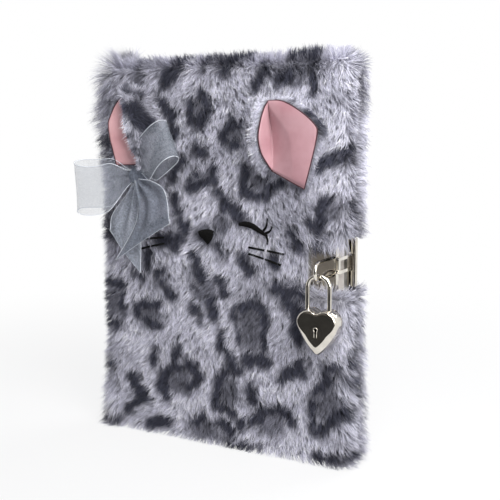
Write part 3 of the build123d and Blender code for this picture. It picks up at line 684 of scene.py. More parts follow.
# The pile's length, and its rise from the cloth at root and tip in degrees
PILE_L = 7.0
ROOT_RISE, TIP_RISE = 63, 14
# Sizes of locks and of the tufts in them, and how far from its root a strand takes its colour
LOCK, TUFT = 4.8, 1.5
TIP_REACH = 3.6
# The face's middle line and the height of its nose
FACE_MID, NOSE_Z = -6.5, 119
# Heights of the fringe above the clasp's cut and of the brow below it, and the fringe's longer pile
FRINGE_H, BROW_H = 5, 4
FRINGE_GAIN = 1.95
# The stretch of pile that lies flat behind the padlock, and its greatest rise there in radians
BEHIND_X, BEHIND_Z = 50, (60, 112)
FLAT_ROOT, FLAT_TIP = 0.62, 0.05


def part_angle(s, t):
    """How far the pile is combed away from straight down, in radians: in drifts, and apart at the nose."""
    angle = 0.75 * noise(s / 42, t / 42, 21) + 0.55 * noise(s / 17, t / 17, 22)
    angle += 0.25 * noise(s / 7, t / 7, 23)
    dx, dz = s - FACE_MID, t - NOSE_Z
    around = np.exp(-(dx * dx + dz * dz) / 500)
    return angle + around * np.clip(np.arctan2(dx, np.abs(dz) + 6), -1, 1) * 0.8


def wall_fur(sign, density, width, prints, s0, s1):
    """Strands over one cover, from the spine's middle to the seam on the fore-edge."""
    lip = ROOT_Y - sign * SEAM[sign]
    lip_s = BEND_S1 + lip - EDGE_R
    t0, t1 = ROOT_FOOT + 0.5, ROOT_TOP - EDGE_R + turned_in(lip)
    n = int((s1 - s0) * (t1 - t0) * density * QUICK)
    s, t = rng.uniform(s0, s1, n), rng.uniform(t0, t1, n)
    place, normal, across, up = shell(s, t, sign)
    keep = ~in_notch(place) & (normal[:, 2] > -0.55)
    s, t, place, normal, across, up = (v[keep] for v in (s, t, place, normal, across, up))
    # No pile under the foot: there it grows straight out of the walls
    low = (t < ROOT_FOOT + EDGE_R)[:, None]
    normal = np.where(low, unit(normal * np.array([1, 1, 0])), normal)
    up = np.where(low, np.array([0.0, 0.0, 1.0]), up)
    n = len(s)
    cs, ct = clump(s, t, LOCK, 31)
    fs, ft = clump(s, t, TUFT, 33)
    angle = 0.7 * part_angle(cs, ct) + 0.3 * part_angle(fs, ft) + 1.1 * (cell_hash(fs, ft, 35) - 0.5)
    angle += rng.normal(0, 0.16, n)
    edge = np.maximum(np.abs(normal[:, 0]), np.abs(normal[:, 2]))
    lift = noise(cs / 9, ct / 9, 41) + 0.6 * noise(cs / 3.1, ct / 3.1, 42)
    length = PILE_L * (1 + 0.1 * noise(cs / 5, ct / 5, 43)) * rng.uniform(0.74, 1.12, n)
    # Longer at the spine, most of all high and low on it, at the top and low on the fore-edge
    spine_side = ramp(FACE_X0 + 6, BEND_S0 + 5, s)
    length *= 1 + (0.34 + 0.8 * ramp(155, 190, t)) * spine_side + 0.18 * ramp(204, 220, t)
    length *= 1 + 0.55 * ramp(45, 12, t) * spine_side + 0.4 * ramp(75, 25, t) * ramp(FACE_X1, BEND_S1, s)
    seam = ramp(lip_s - 5, lip_s, s)
    length *= 1 - 0.35 * seam
    angle -= 1.0 * seam
    a0 = np.radians(ROOT_RISE + 9 * lift + 8 * edge + rng.normal(0, 7, n))
    a1 = np.radians(TIP_RISE + 15 * lift + 24 * edge + rng.normal(0, 8, n))
    flow = unit(np.sin(angle)[:, None] * across - np.cos(angle)[:, None] * up)
    pull = 0.22 * ((cs - s)[:, None] * across + (ct - t)[:, None] * up)
    pull += 0.45 * ((fs - s)[:, None] * across + (ft - t)[:, None] * up)
    # lit is the share of the painted root shade taken off strands that stand up from the top edge, so they
    # show lighter
    d = {"root": place, "normal": normal, "flow": flow, "length": length, "a0": a0, "a1": a1, "lean": pull,
         "width": width * rng.uniform(0.7, 1.25, n), "roll": rng.normal(0, 0.45, n), "s": s, "t": t,
         "lit": 0.75 * ramp(0.15, 0.7, normal[:, 2])}
    level = print_level(s + TIP_REACH * np.sin(angle), t - TIP_REACH * np.cos(angle), *prints)
    if sign > 0:
        level *= 1 - 0.6 * ramp(FACE_X1 - 8, BEND_S1, s)
    tone = 1 + 0.12 * noise(cs / 2, ct / 2, 51) + 0.16 * (cell_hash(fs, ft, 53) - 0.5)
    # Strands by the fore-edge seam are painted darker (0.3 of seam): painted shade in the groove there
    tone += 0.07 * noise(s / 26, t / 26, 52) - 0.3 * seam
    d["colour"] = fur_colour(level) * tone[:, None]
    return d


def trim_at_clasp(d):
    """Shortens strands that would hang over the clasp, and flattens those behind the padlock."""
    tip, root = strand_at(d, 1.0), d["root"]
    x, z = root[:, 0], root[:, 2]
    hang = np.where(d["normal"][:, 1] < -0.7, OVERHANG, 2.0)
    over = (tip[:, 0] > NOTCH_X - 1) & (z > NOTCH_Z[1] - 1) & (tip[:, 2] < NOTCH_Z[1] - hang)
    drop = np.maximum(z - tip[:, 2], 0.1)
    share = np.clip((z - NOTCH_Z[1] + hang) / drop, 0.25, 1)
    d["length"][over] *= share[over]
    d["lean"][over] *= share[over, None]
    # The fringe above the cut hangs long and flat, the brow below it stands out
    fringe = (x > NOTCH_X - 1) & (z > NOTCH_Z[1]) & (z < NOTCH_Z[1] + FRINGE_H) & (hang > 3)
    d["length"][fringe] *= FRINGE_GAIN
    d["a0"][fringe] *= 0.8
    d["a1"][fringe] = -0.1
    brow = (x > NOTCH_X - 2) & (z < NOTCH_Z[0]) & (z > NOTCH_Z[0] - BROW_H)
    d["flow"][brow] = unit(d["flow"][brow] * np.array([1.0, 1.0, -0.3]))
    behind = (x > BEHIND_X) & (z > BEHIND_Z[0]) & (z < BEHIND_Z[1]) & (d["normal"][:, 1] < -0.5)
    d["a0"][behind] = np.minimum(d["a0"][behind], FLAT_ROOT)
    d["a1"][behind] = np.minimum(d["a1"][behind], FLAT_TIP)
    return d


# Covers and spine
def dress_cover(sign, side, prints, density, width):
    """Pelts and pile of one cover and its joint; gives back its half of the spine's pile."""
    lip = ROOT_Y - sign * SEAM[sign]
    seam_s = BEND_S1 + ROOT_Y - EDGE_R - sign * SEAM[sign]
    face_line = np.concatenate([
        np.linspace(JOINT_S, FACE_X1, 46)[:-1], np.linspace(FACE_X1, BEND_S1, 7)[:-1],
        np.linspace(BEND_S1, seam_s, 5)[:-1], np.linspace(seam_s, seam_s + ROOT_FORE - LIP_IN, 4),
    ])
    joint_line = np.concatenate([
        np.linspace(BEND_S0 - LAP, FACE_X0, 12)[:-1], np.linspace(FACE_X0, JOINT_S, 5),
    ])
    cover = side + "_cover"
    face = pelt(side + "_pelt", face_line, sign, prints, side + "_plush", lip)
    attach(face, cover)
    joint = pelt(side + "_joint_pelt", joint_line, sign, prints, side + "_joint_plush", ROOT_Y - 4)
    fur = trim_at_clasp(wall_fur(sign, density, width, prints, BEND_S0 - SPINE_HALF, seam_s - 0.3))
    on_face, on_spine = fur["s"] > JOINT_S, fur["s"] <= BEND_S0 - LAP
    pieces = strand_pieces(side + "_fur", pick(fur, on_face), cover, (1, -sign * 0.6, 0))
    bent = strand_pieces(side + "_joint_fur", pick(fur, ~on_face & ~on_spine), None, (1, sign * 0.6, 0))
    for obj in [joint, *bent]:
        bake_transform(obj)
    return pick(fur, on_spine)


front_spine = dress_cover(-1, "front", FRONT_PRINT, 3.8, 0.28)
back_spine = dress_cover(1, "back", BACK_PRINT, 2.0, 0.38)


def dress_spine():
    """The strip of plush on the spine between the two joints."""
    rows, cols = 70, 6
    t_line = np.linspace(ROOT_FOOT, ROOT_TOP, rows)
    y_line = np.linspace(-SPINE_HALF - LAP, SPINE_HALF + LAP, cols)
    y, t = np.meshgrid(y_line, t_line)
    x = ROOT_SPINE + 0.3 * noise(y / 2, t / 2, 9)
    end = np.maximum(ramp(ROOT_TOP - 4, ROOT_TOP, t), ramp(ROOT_FOOT + 4, ROOT_FOOT, t))
    place = np.stack([x + 2.5 * end, y, t], -1).reshape(-1, 3)
    obj = from_faces("spine_pelt", place, [f[::-1] for f in grid_faces(rows, cols)], PAINTED_SHADE_BACKING, None, "plush")
    paint(obj, print_colour(print_level(y.ravel() - 90, t.ravel(), *FRONT_PRINT)))
    solidify(obj, CLOTH_T)
    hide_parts("spine_plush")
    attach(obj, "block")
    strands = {k: np.concatenate([v, back_spine[k]]) for k, v in front_spine.items()}
    pieces = strand_pieces("spine_fur", strands, "block", (0, 1, 0))


dress_spine()


# Ears: each a leaf folded at its crease, from the base up to the apex
RIGHT_EAR = {
    "inner": [(36.9, -18.5, 158.6), (34.8, -26.0, 167.1), (34.3, -29.5, 175.5), (35.2, -29.0, 184.2),
              (36.2, -26.5, 191.4), (37.2, -24.0, 195.1)],
    "crease": [(36.9, -18.5, 158.6), (36.6, -17.6, 169.7), (36.0, -18.0, 179.7), (36.2, -21.0, 188.5),
               (37.2, -24.0, 195.1)],
    "outer": [(55.7, -18.5, 149.5), (60.7, -20.5, 164.7), (64.2, -22.0, 177.5), (63.5, -23.0, 182.5),
              (55.8, -24.5, 189.6), (45.6, -24.5, 194.9), (37.2, -24.0, 195.1)],
}
LEFT_EAR = {
    "inner": [(-45.3, -25.0, 160.3), (-46.4, -25.6, 167.1), (-49.4, -26.0, 173.2), (-51.8, -26.2, 180.0),
              (-53.0, -26.2, 186.2), (-53.4, -26.0, 191.9), (-53.4, -25.5, 196.4), (-53.6, -25.0, 200.4)],
    "crease": [(-42.5, -19.5, 161.0), (-39.5, -18.5, 173.0), (-39.0, -18.5, 187.0), (-42.0, -19.0, 196.5),
               (-47.0, -21.0, 201.5), (-53.6, -25.0, 200.4)],
    "outer": [(-61.0, -24.5, 160.5), (-62.6, -25.8, 169.5), (-64.1, -26.4, 176.2), (-64.9, -26.6, 183.9),
              (-63.7, -26.6, 187.7), (-60.4, -26.2, 194.2), (-57.2, -25.6, 198.2), (-53.6, -25.0, 200.4)],
}
EAR_ROWS, EAR_IN, EAR_OUT = 30, 9, 22
EAR_RIM_LINE_R = 0.38
LINING_T, EAR_PLUSH_T = 0.5, 2.2
EAR_BACK_Y, EAR_FRONT_Y = -14.4, -14.8
EAR_STRANDS = 11000
EAR_LOCK = 3.0


def ear_grid(lines, bulge):
    """A folded leaf: rows from base to apex, columns from the standing edge over the crease to the other."""
    inner, crease, outer = (curve(lines[k], EAR_ROWS) for k in ("inner", "crease", "outer"))
    v = np.linspace(0, 1, EAR_ROWS)[:, None]
    columns = []
    for q in np.linspace(1, 0, EAR_IN)[:-1]:
        swell = bulge * 0.4 * math.sin(math.pi * q) * np.sin(math.pi * v)
        columns.append(crease * (1 - q) + inner * q + swell * np.array([[0.6, 0.4, 0]]))
    tall = np.sin(math.pi * np.clip(v, 0.02, 1)) ** 0.7
    for q in np.linspace(0, 1, EAR_OUT):
        peak = 0.14 + 0.5 * (1 - v)
        rise = np.minimum(q / peak, (1 - q) / (1 - peak))
        swell = bulge * (0.7 * rise + 0.3 * math.sin(math.pi * q)) * tall
        columns.append(crease * (1 - q) + outer * q + swell * np.array([[0, -1.0, 0]]))
    return np.stack(columns, 1)


def grid_normals(grid):
    """Normals of a grid of points."""
    return unit(np.cross(np.gradient(grid, axis=1), np.gradient(grid, axis=0)))


def rim_of(grid):
    """The leaf's edge as one open line: up the standing edge, down the lying edge and along the base."""
    return np.vstack([grid[:, 0], grid[::-1, -1][1:], grid[0, ::-1][1:]])


def ear_pelt(side, grid, out, spread, dark_spots):
    """The plush behind an ear's lining: two layers, joined round the rim."""
    rows, cols = grid.shape[:2]
    share = np.zeros((rows, cols))
    share[:, [0, -1]] = 1.0
    share[:, [1, -2]] = 0.55
    share[-2:, :] = 1.0
    back = grid - out * EAR_PLUSH_T + spread * (0.5 * share)[..., None]
    front = grid - out * 0.45 + spread * (0.25 * share)[..., None]
    back[..., 1] = np.minimum(back[..., 1], EAR_BACK_Y)
    front[..., 1] = np.minimum(front[..., 1], EAR_FRONT_Y)
    verts = np.vstack([front.reshape(-1, 3), back.reshape(-1, 3)])
    half = rows * cols
    faces = grid_faces(rows, cols) + [tuple(half + k for k in f[::-1]) for f in grid_faces(rows, cols)]
    ring = [i * cols for i in range(rows)] + [(rows - 1) * cols + j for j in range(1, cols)]
    ring += [i * cols + cols - 1 for i in range(rows - 2, -1, -1)] + list(range(cols - 2, 0, -1))
    for a, b in zip(ring, ring[1:] + ring[:1]):
        faces.append((a, a + half, b + half, b))
    plush = from_faces(side + "_ear_pelt", verts, faces, PAINTED_SHADE_BACKING, "front_cover", "plush")
    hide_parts(side + "_ear_plush")
    paint(plush, print_colour(print_level(verts[:, 0], verts[:, 2], dark_spots, [])))


def ear_strands(grid, out, spread, dark_spots):
    """Pile over an ear's back and, for half of the strands, along its two long edges."""
    rows, cols = grid.shape[:2]
    n = int(EAR_STRANDS * QUICK)
    i, j = rng.uniform(0, rows - 1.001, n), rng.uniform(0, cols - 1.001, n)
    edge = rng.uniform(0, 1, n) < 0.5
    far = rng.uniform(0, 1, n) < 0.6
    j = np.where(edge, np.where(far, cols - 1.02 - rng.uniform(0, 0.8, n), rng.uniform(0, 0.8, n)), j)
    i0, j0 = i.astype(int), j.astype(int)
    fi, fj = (i - i0)[:, None], (j - j0)[:, None]

    def sample(field):
        low = field[i0, j0] * (1 - fj) + field[i0, j0 + 1] * fj
        high = field[i0 + 1, j0] * (1 - fj) + field[i0 + 1, j0 + 1] * fj
        return low * (1 - fi) + high * fi

    deep = np.where(edge, rng.uniform(0.3, EAR_PLUSH_T, n), EAR_PLUSH_T)[:, None]
    outward, away = unit(sample(out)), unit(sample(spread))
    root = sample(grid) - outward * deep + away * np.where(edge, 0.3, 0.0)[:, None]
    root[:, 1] = np.minimum(root[:, 1], EAR_BACK_Y)
    normal = np.where(edge[:, None], unit(away - 0.35 * outward), -outward)
    keep = root[:, 1] < EAR_BACK_Y - 0.6
    root, normal, away, outward, edge, far = (v[keep] for v in (root, normal, away, outward, edge, far))
    n = len(root)
    down = np.array([0, 0.1, -1.0])
    flow = np.where(edge[:, None], -0.6 * outward + 0.45 * down, 0.8 * away + 0.55 * down)
    flow = flow + rng.normal(0, 0.25, (n, 3))
    flow = unit(flow - normal * (flow * normal).sum(1, keepdims=True))
    # Tufts on a grid of cells of their own, shifted along x
    cs, ct = clump(root[:, 0] + 300, root[:, 2], EAR_LOCK, 61)
    lean = 0.4 * np.stack([cs - 300 - root[:, 0], 0 * cs, ct - root[:, 2]], -1)
    level = print_level(root[:, 0] + 3 * flow[:, 0], root[:, 2] + 3 * flow[:, 2], dark_spots, [])
    length = rng.uniform(4.6, 6.8, n) * np.where(edge & ~far, 0.55, 1.0)
    return {"root": root, "normal": normal, "flow": flow, "length": length,
            "a0": np.radians(rng.normal(56, 8, n)), "a1": np.radians(rng.normal(16, 9, n)), "lean": lean,
            "width": 0.33 * rng.uniform(0.7, 1.25, n), "roll": rng.normal(0, 0.5, n),
            "colour": fur_colour(level), "lit": np.zeros(n)}


def dress_ear(side, cloth, lines, bulge, facing, dark_spots):
    """Satin lining, a thin dark thread round its rim, plush back and pile of one ear."""
    grid = ear_grid(lines, bulge)
    flat, faces = grid.reshape(-1, 3), grid_faces(*grid.shape[:2])
    out = grid_normals(grid) * facing
    lining = from_faces(side + "_ear_satin", flat, faces, cloth, "front_cover", "satin")
    solidify(lining, LINING_T, 0.0)
    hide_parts(side + "_ear_lining")
    # A thin dark thread round the lining's rim
    seam = tube(rim_of(grid), EAR_RIM_LINE_R, 6)
    rim_line_obj = from_faces(side + "_ear_rim_line", *seam, DARK_RIM_THREAD, "front_cover", "satin")
    spread = unit((grid - flat.mean(0)) * np.array([1.0, 0.3, 1.0]))
    spread[:, :2] = unit(grid[:, :1] - grid[:, 2:3] + 1e-6)
    ear_pelt(side, grid, out, spread, dark_spots)
    strands = ear_strands(grid, out, spread, dark_spots)
    strand_pieces(side + "_ear_fur", strands, "front_cover", (1, -0.5, 0))


dress_ear("right", SATIN, RIGHT_EAR, 3.2, 1, [(58, 188, 66, 181.5, 4.2), (44, 197, 56, 190, 0.4)])
dress_ear("left", PAINTED_LIGHT_SATIN, LEFT_EAR, 0.8, -1, [
    (-50.5, 194, -40, 182, 5.2), (-60, 203, -69, 198, 2.6), (-53, 203, -44, 200, 1.2),
    (-45, 184, -43, 164, 0.2), (-48.5, 177, -44.5, 162, 1.2)])


# Ribbon bow
GATHERED_W = 7.0
LOOP_ROWS, LOOP_COLS = 61, 19
LOOP_GAP = 0.06
TAIL_ROWS, TAIL_COLS = 30, 25
KNOT_AT = np.array([-47.5, -22.0, 155.3])
KNOT_HALF, KNOT_RY, KNOT_RZ = 4.3, 4.6, 5.2
KNOT_TILT = 0.12
LOOP_THREAD_R, TAIL_THREAD_R, CUT_THREAD_R = 0.2, 0.19, 0.08


def ribbon(name, node, cloth, sheet, threads):
    """A sheet of ribbon in the place of its solid, and the threads along its edges."""
    obj = from_faces(name, sheet.reshape(-1, 3), grid_faces(*sheet.shape[:2]), cloth, "front_cover", "ribbon")
    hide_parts(node)
    edge = from_faces(name + "_threads", *join(threads), SELVEDGE, "front_cover", "ribbon")
    return obj, edge


def ribbon_loop(name, node, cloth, start, fold, wide0, wide1, gather, spread, slip, sag, width):
    """One gathered loop: out along the near layer, round the fold and back along the far layer."""
    start = np.array(start, float)
    reach = np.array(fold, float) - start
    a = np.linspace(LOOP_GAP, 2 * math.pi - LOOP_GAP, LOOP_ROWS)[:, None]
    rho = (1 - np.cos(a)) / 2
    wide = unit(unit(np.array(wide0, float)) * (1 - rho) + unit(np.array(wide1, float)) * rho)
    out = unit(np.cross(reach, wide))
    out = out * np.where(out[:, 1:2] > 0, -1, 1)
    half = (GATHERED_W + (width - GATHERED_W) * ramp(0.0, gather, rho)) / 2
    line = start + reach * rho + out * spread * np.sin(a) * (0.25 + 0.75 * rho**1.2)
    line = line - wide * slip * np.sin(a) * rho - np.array([[0, 0, sag]]) * np.sin(math.pi * rho)
    columns = []
    for v in np.linspace(-1, 1, LOOP_COLS):
        pleat = 1.3 * np.cos(3.4 * math.pi * v + 0.6) * (1 - rho) ** 1.6
        wave = 0.5 * np.sin(2.2 * v + 5 * rho + (a > math.pi)) * rho
        columns.append(line + wide * half * v + out * (pleat + wave))
    sheet = np.stack(columns, 1)
    threads = [tube(sheet[:, k], LOOP_THREAD_R, 5) for k in (0, -1)]
    obj, edge = ribbon(name, node, cloth, sheet, threads)


ribbon_loop("left_loop", "bow_left_loop", ORGANZA, (-49.5, -23.5, 154.8), (-83.5, -34.0, 148.0), (0.1, 0, 1),
            (-0.1, 0.05, 1), 0.45, 4.6, 3.4, 3.0, 28.0)
ribbon_loop("right_loop", "bow_right_loop", LOOP_ORGANZA, (-45.8, -24.0, 159.0), (-20.0, -30.0, 176.0),
            (-0.4, 0.2, 0.9), (-0.53, 0.39, 0.75), 0.3, 7.6, 1.0, 0.0, 26.0)


def ribbon_tail(name, node, cloth, left, right, depth, lift):
    """One tail: a fan of ribbon from the knot to its slanted cut, rippled by the gather."""
    a, b = (curve([(x, depth, z) for x, z in line], TAIL_ROWS) for line in (left, right))
    q = np.linspace(0, 1, TAIL_ROWS)[:, None]
    columns = []
    for v in np.linspace(0, 1, TAIL_COLS):
        ripple = 2.0 * np.cos(5.0 * math.pi * v + 0.5) * (1 - q) ** 0.7 * ramp(0, 0.16, q)
        ripple = ripple + 0.9 * np.sin(4.2 * v + 2.4 * q) * ramp(0, 0.3, q)
        line = a * (1 - v) + b * v
        columns.append(line + np.array([[0, 1.0, 0]]) * (ripple - lift * np.sin(math.pi * q * 0.5)))
    sheet = np.stack(columns, 1)
    threads = [tube(sheet[:, k], TAIL_THREAD_R, 5) for k in (0, -1)]
    obj, edge = ribbon(name, node, cloth, sheet, [*threads, tube(sheet[-1], CUT_THREAD_R, 4)])


ribbon_tail("left_tail", "bow_left_tail", PAINTED_LIGHT_ORGANZA,
            [(-49.5, 151), (-60, 139), (-66.5, 131), (-67.5, 122)],
            [(-46.5, 151), (-44, 132), (-44, 116), (-45.5, 98.5)], -23.6, 0.4)
ribbon_tail("right_tail", "bow_right_tail", TAIL_ORGANZA,
            [(-45.5, 152), (-44.6, 136), (-48.0, 124), (-60.0, 105.5)],
            [(-43.0, 153), (-32.0, 152), (-23.8, 146), (-22.0, 128.7)], -28.0, 0.6)


def bow_knot():
    """The gathered band round the bow's middle: a barrel with pleats that run round it."""
    rows, cols = 22, 36
    q = np.linspace(-1, 1, rows)[:, None]
    a = 2 * math.pi * np.arange(cols) / cols
    swell = (1 - 0.28 * q * q) * (1 + 0.07 * np.cos(5 * math.pi * q + 0.6 * np.sin(a)))
    x = q * KNOT_HALF + 0 * a
    y = -KNOT_RY * swell * np.sin(a) * np.where(np.sin(a) > 0, 1, 1.3)
    z = KNOT_RZ * swell * np.cos(a) + KNOT_TILT * x
    grid = KNOT_AT + np.stack([x, y, z], -1)
    faces = barrel_faces(rows, cols)
    obj = from_faces("knot_band", grid.reshape(-1, 3), faces, KNOT, "front_cover", "ribbon")
    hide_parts("bow_knot")


bow_knot()

# Sewn face
FACE_Y = -16.0
STITCH_STEP = 0.42
STITCH_R = 0.24
LID = [(18.5, 129.3), (23, 128.6), (28, 126.0), (32.6, 123.4)]
LASHES = [[(30.5, 126.0), (32.6, 129.0), (33.0, 133.2)], [(32.0, 124.8), (34.6, 126.2), (36.0, 128.6)],
          [(32.4, 123.4), (33.2, 121.2), (33.0, 118.8)]]
WHISKERS = [[(21.3, 116.5), (31.0, 115.4)], [(32.6, 115.3), (42.6, 114.0)],
            [(21.3, 112.9), (30.5, 110.8)], [(31.5, 110.6), (40.9, 108.0)]]


def satin_stitch(line, width, rise, upright=False):
    """Slanted or upright stitches laid side by side along a line, each a short arched thread."""
    along = unit(np.gradient(line, axis=0))
    if upright:
        along = np.array([[1.0, 0.0, 0.0]] * len(line))
    side = np.stack([-along[:, 2], 0 * along[:, 0], along[:, 0]], -1)
    run = run_lengths(line)
    q = np.linspace(-1, 1, 5)[:, None]
    parts = []
    for place in np.arange(0, run[-1], STITCH_STEP):
        p, n, d = (np.array([np.interp(place, run, v[:, k]) for k in range(3)]) for v in (line, side, along))
        half = np.interp(place, run, width) / 2
        arch = p + n * half * q + d * 0.25 * half * q + np.array([[0, -1.0, 0]]) * rise * (1 - q * q)
        parts.append(tube(arch, STITCH_R, 5))
    return parts


def face_line(flip, points, forward, count):
    """A smooth line over the face, mirrored about its middle where flip is -1."""
    return curve([(FACE_MID + flip * (x - FACE_MID), FACE_Y + forward, z) for x, z in points], count)


def sew_face():
    """Nose, closed eyes with lashes, and whiskers in black thread on the pile."""
    nose_x = np.linspace(-10.2, -0.6, 40)
    tall = np.interp(nose_x, [-10.2, -9.2, -3.6, -1.4, -0.6], [1.2, 3.6, 8.6, 5.4, 1.6])
    crown = 125.2 - 0.05 * (nose_x + 5.4) ** 2
    nose = np.stack([nose_x, np.full(40, FACE_Y - 0.3), crown - tall / 2], -1)
    parts = satin_stitch(nose, tall, 0.9, upright=True)
    # The bow covers the inner end of the mirrored eye, and the mirrored whiskers sit higher
    for flip, lid_start, higher in ((1, 15.5, 0), (-1, 18.4, 2.4)):
        lid = face_line(flip, [(lid_start, 129.0), *LID], 0.0, 40)
        parts += satin_stitch(lid, 1.2 + 2.0 * np.sin(np.linspace(0.1, math.pi, 40)), 0.5)
        for lash in LASHES:
            parts += satin_stitch(face_line(flip, lash, -0.3, 14), np.linspace(1.5, 0.5, 14), 0.25)
        for whisker in WHISKERS:
            raised = [(x, z + higher) for x, z in whisker]
            parts += satin_stitch(face_line(flip, raised, 0.4, 16), np.full(16, 1.05), 0.3)
    from_faces("face_stitches", *join(parts), STITCH, "front_cover", "plush_edge")


sew_face()

# Padlock case
HEART_LOBE = 6.8
HEART_SLOPE = math.radians(18)
HEART_POINTS = 160
HEART_EASE = 12
HEART_DROP = 0.9
DOME_DEPTH, DOME_RINGS = 3.2, 16
BEVEL_HIGH, BEVEL_LOW = 0.12, 0.38
PLUG_BORE = 3.65
LEG_OFF = 6.2
LEG_BORE = 1.28
LEG_DEPTHS = ((-1, 12.2), (1, 8.3))
PLUG_HALF = 4.1


def heart_line(half, top, tip):
    """The padlock's outline: round lobes and gently bulging sides, eased at the dip and the point."""
    lobe_x = half - HEART_LOBE
    turn = np.linspace(math.acos(-lobe_x / HEART_LOBE), -HEART_SLOPE, 60)
    lobe = np.stack([lobe_x + HEART_LOBE * np.cos(turn), top - HEART_LOBE + HEART_LOBE * np.sin(turn)], -1)
    q = np.linspace(0, 1, 60)[1:, None]
    point = np.array([0.0, tip])
    half_way = np.linalg.norm(point - lobe[-1]) / 2
    pull = lobe[-1] + half_way * np.array([-math.sin(HEART_SLOPE), -math.cos(HEART_SLOPE)])
    side = (1 - q) ** 2 * lobe[-1] + 2 * q * (1 - q) * pull + q * q * point
    right = np.vstack([lobe, side])
    loop = np.vstack([right, right[::-1][1:] * np.array([-1, 1])])
    run = run_lengths(loop)
    even = np.linspace(0, run[-1], HEART_POINTS, endpoint=False)
    loop = np.stack([np.interp(even, run, loop[:, k]) for k in range(2)], -1)
    for _ in range(HEART_EASE):
        loop = (np.roll(loop, 1, 0) + 2 * loop + np.roll(loop, -1, 0)) / 4
    return loop


def heart_rings(low, high, hub):
    """Rings of the domed case from the plug's bore over the front, round the rim and along the back."""
    half, middle = (high[0] - low[0]) / 2, (high[0] + low[0]) / 2
    line = heart_line(half, high[2], low[2] - HEART_DROP)
    hub = np.array([0.0, hub])
    spoke = line - hub
    bore = hub + unit(spoke) * PLUG_BORE
    lower = ramp(hub[1] + 5, hub[1] - 4, line[:, 1])
    wide = (BEVEL_HIGH + (BEVEL_LOW - BEVEL_HIGH) * lower)[:, None]
    flat = hub + spoke * (1 - wide)
    rings = [(bore + (flat - bore) * q, low[1]) for q in (0, 0.33, 0.67)]
    for q in np.linspace(1, 0, DOME_RINGS):
        back = DOME_DEPTH * (1 - math.sqrt(1 - (1 - q) ** 2))
        rings.append((hub + spoke * (1 - wide * q), low[1] + back))
    rings += [(line, (low[1] + DOME_DEPTH + high[1]) / 2), (line, high[1]), (bore, high[1])]
    return np.array([[(x + middle, y, z) for x, z in ring] for ring, y in rings])


def bore_legs(obj, x, y, top):
    """Cuts the shackle's two bores into the case."""
    cutter = bmesh.new()
    for sign, depth in LEG_DEPTHS:
        made = bmesh.ops.create_cone(cutter, cap_ends=True, segments=28, radius1=LEG_BORE * MM,
                                     radius2=LEG_BORE * MM, depth=(depth + 2) * MM)
        place = Vector((x + sign * LEG_OFF, y, top + 1 - depth / 2)) * MM
        bmesh.ops.translate(cutter, verts=made["verts"], vec=place)
    mesh = bpy.data.meshes.new("bores")
    cutter.to_mesh(mesh)
    cutter.free()
    tool = bpy.data.objects.new("bores", mesh)
    bpy.context.scene.collection.objects.link(tool)
    cut = obj.modifiers.new("bores", "BOOLEAN")
    cut.operation, cut.object, cut.solver = "DIFFERENCE", tool, "EXACT"
    shape = bpy.data.meshes.new_from_object(obj.evaluated_get(bpy.context.evaluated_depsgraph_get()))
    obj.modifiers.clear()
    obj.data = shape
    bpy.data.objects.remove(tool)


def in_mm(corners):
    """Both corners of a box in millimetres."""
    return [np.array(v) / MM for v in corners]


def heart_case():
    """The bright domed heart, in the place of the bevelled solid."""
    low, high = in_mm(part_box("padlock_case"))
    plug_low, plug_high = in_mm(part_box("key_plug"))
    rings = heart_rings(low, high, (plug_low[2] + plug_high[2]) / 2)
    rows, cols = rings.shape[:2]
    faces = grid_faces(rows, cols, True)
    last = (rows - 1) * cols
    faces += [(last + j, last + (j + 1) % cols, (j + 1) % cols, j) for j in range(cols)]
    obj = from_faces("heart_case", rings.reshape(-1, 3), faces, NICKEL, None, "nickel")
    shape = bmesh.new()
    shape.from_mesh(obj.data)
    bmesh.ops.recalc_face_normals(shape, faces=shape.faces)
    shape.to_mesh(obj.data)
    shape.free()
    bore_legs(obj, (low[0] + high[0]) / 2, (low[1] + high[1]) / 2, high[2])
    obj.data.set_sharp_from_angle(angle=math.radians(40))
    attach(obj, "padlock")
    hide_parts("padlock_case")


heart_case()

# Keyhole: height and radius of its round head, half width and foot of its slot, from the plug's middle
KEYHOLE_HEAD = (1.5, 1.0)
KEYHOLE_SLOT = (0.6, -2.7)
BEAD_R, BEAD_OUT, BEAD_WIDER = 0.22, 0.04, 1.12


def keyhole_bead():
    """A raised edge round the keyhole: over its round head and down both sides of its slot."""
    low, high = in_mm(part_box("key_plug"))
    middle, hub = (low[0] + high[0]) / 2, low[2] + PLUG_HALF
    rise, head = KEYHOLE_HEAD
    half, foot = KEYHOLE_SLOT
    start = math.asin(half / head)
    turn = np.linspace(start, 2 * math.pi - start, 25) - math.pi / 2
    line = [(half, foot), (half, (foot + rise) / 2)]
    line += [(head * math.cos(w), rise + head * math.sin(w)) for w in turn]
    line += [(-half, (foot + rise) / 2), (-half, foot)]
    points = [(middle + x * BEAD_WIDER, low[1] - BEAD_OUT, hub + z) for x, z in line]
    from_faces("keyhole_bead", *tube(points, BEAD_R, 8), NICKEL, "key_plug", "nickel")


keyhole_bead()

# Finishes of the carried-over solids: nickel where nothing else is named
FINISH = {
    **dict.fromkeys(("spine_board", "front_board", "back_board"), BOARD),
    **dict.fromkeys(("spine_lining", "head_band", "tail_band"), CLOTH),
    **dict.fromkeys(("front_leaves", "middle_leaves", "rear_leaves"), PAPER),
    **dict.fromkeys(("front_endpaper", "back_endpaper"), ENDPAPER),
    **dict.fromkeys(("latch", "latch_spring"), STEEL),
    "key_plug": metal_material("plug", *NICKEL_LOOK, painted_shade_from=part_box("key_plug")[0].y / MM),
}
for node_name, node_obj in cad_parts.items():
    if not node_obj.hide_render:
        node_obj.data.materials.clear()
        node_obj.data.materials.append(FINISH.get(node_name, NICKEL))

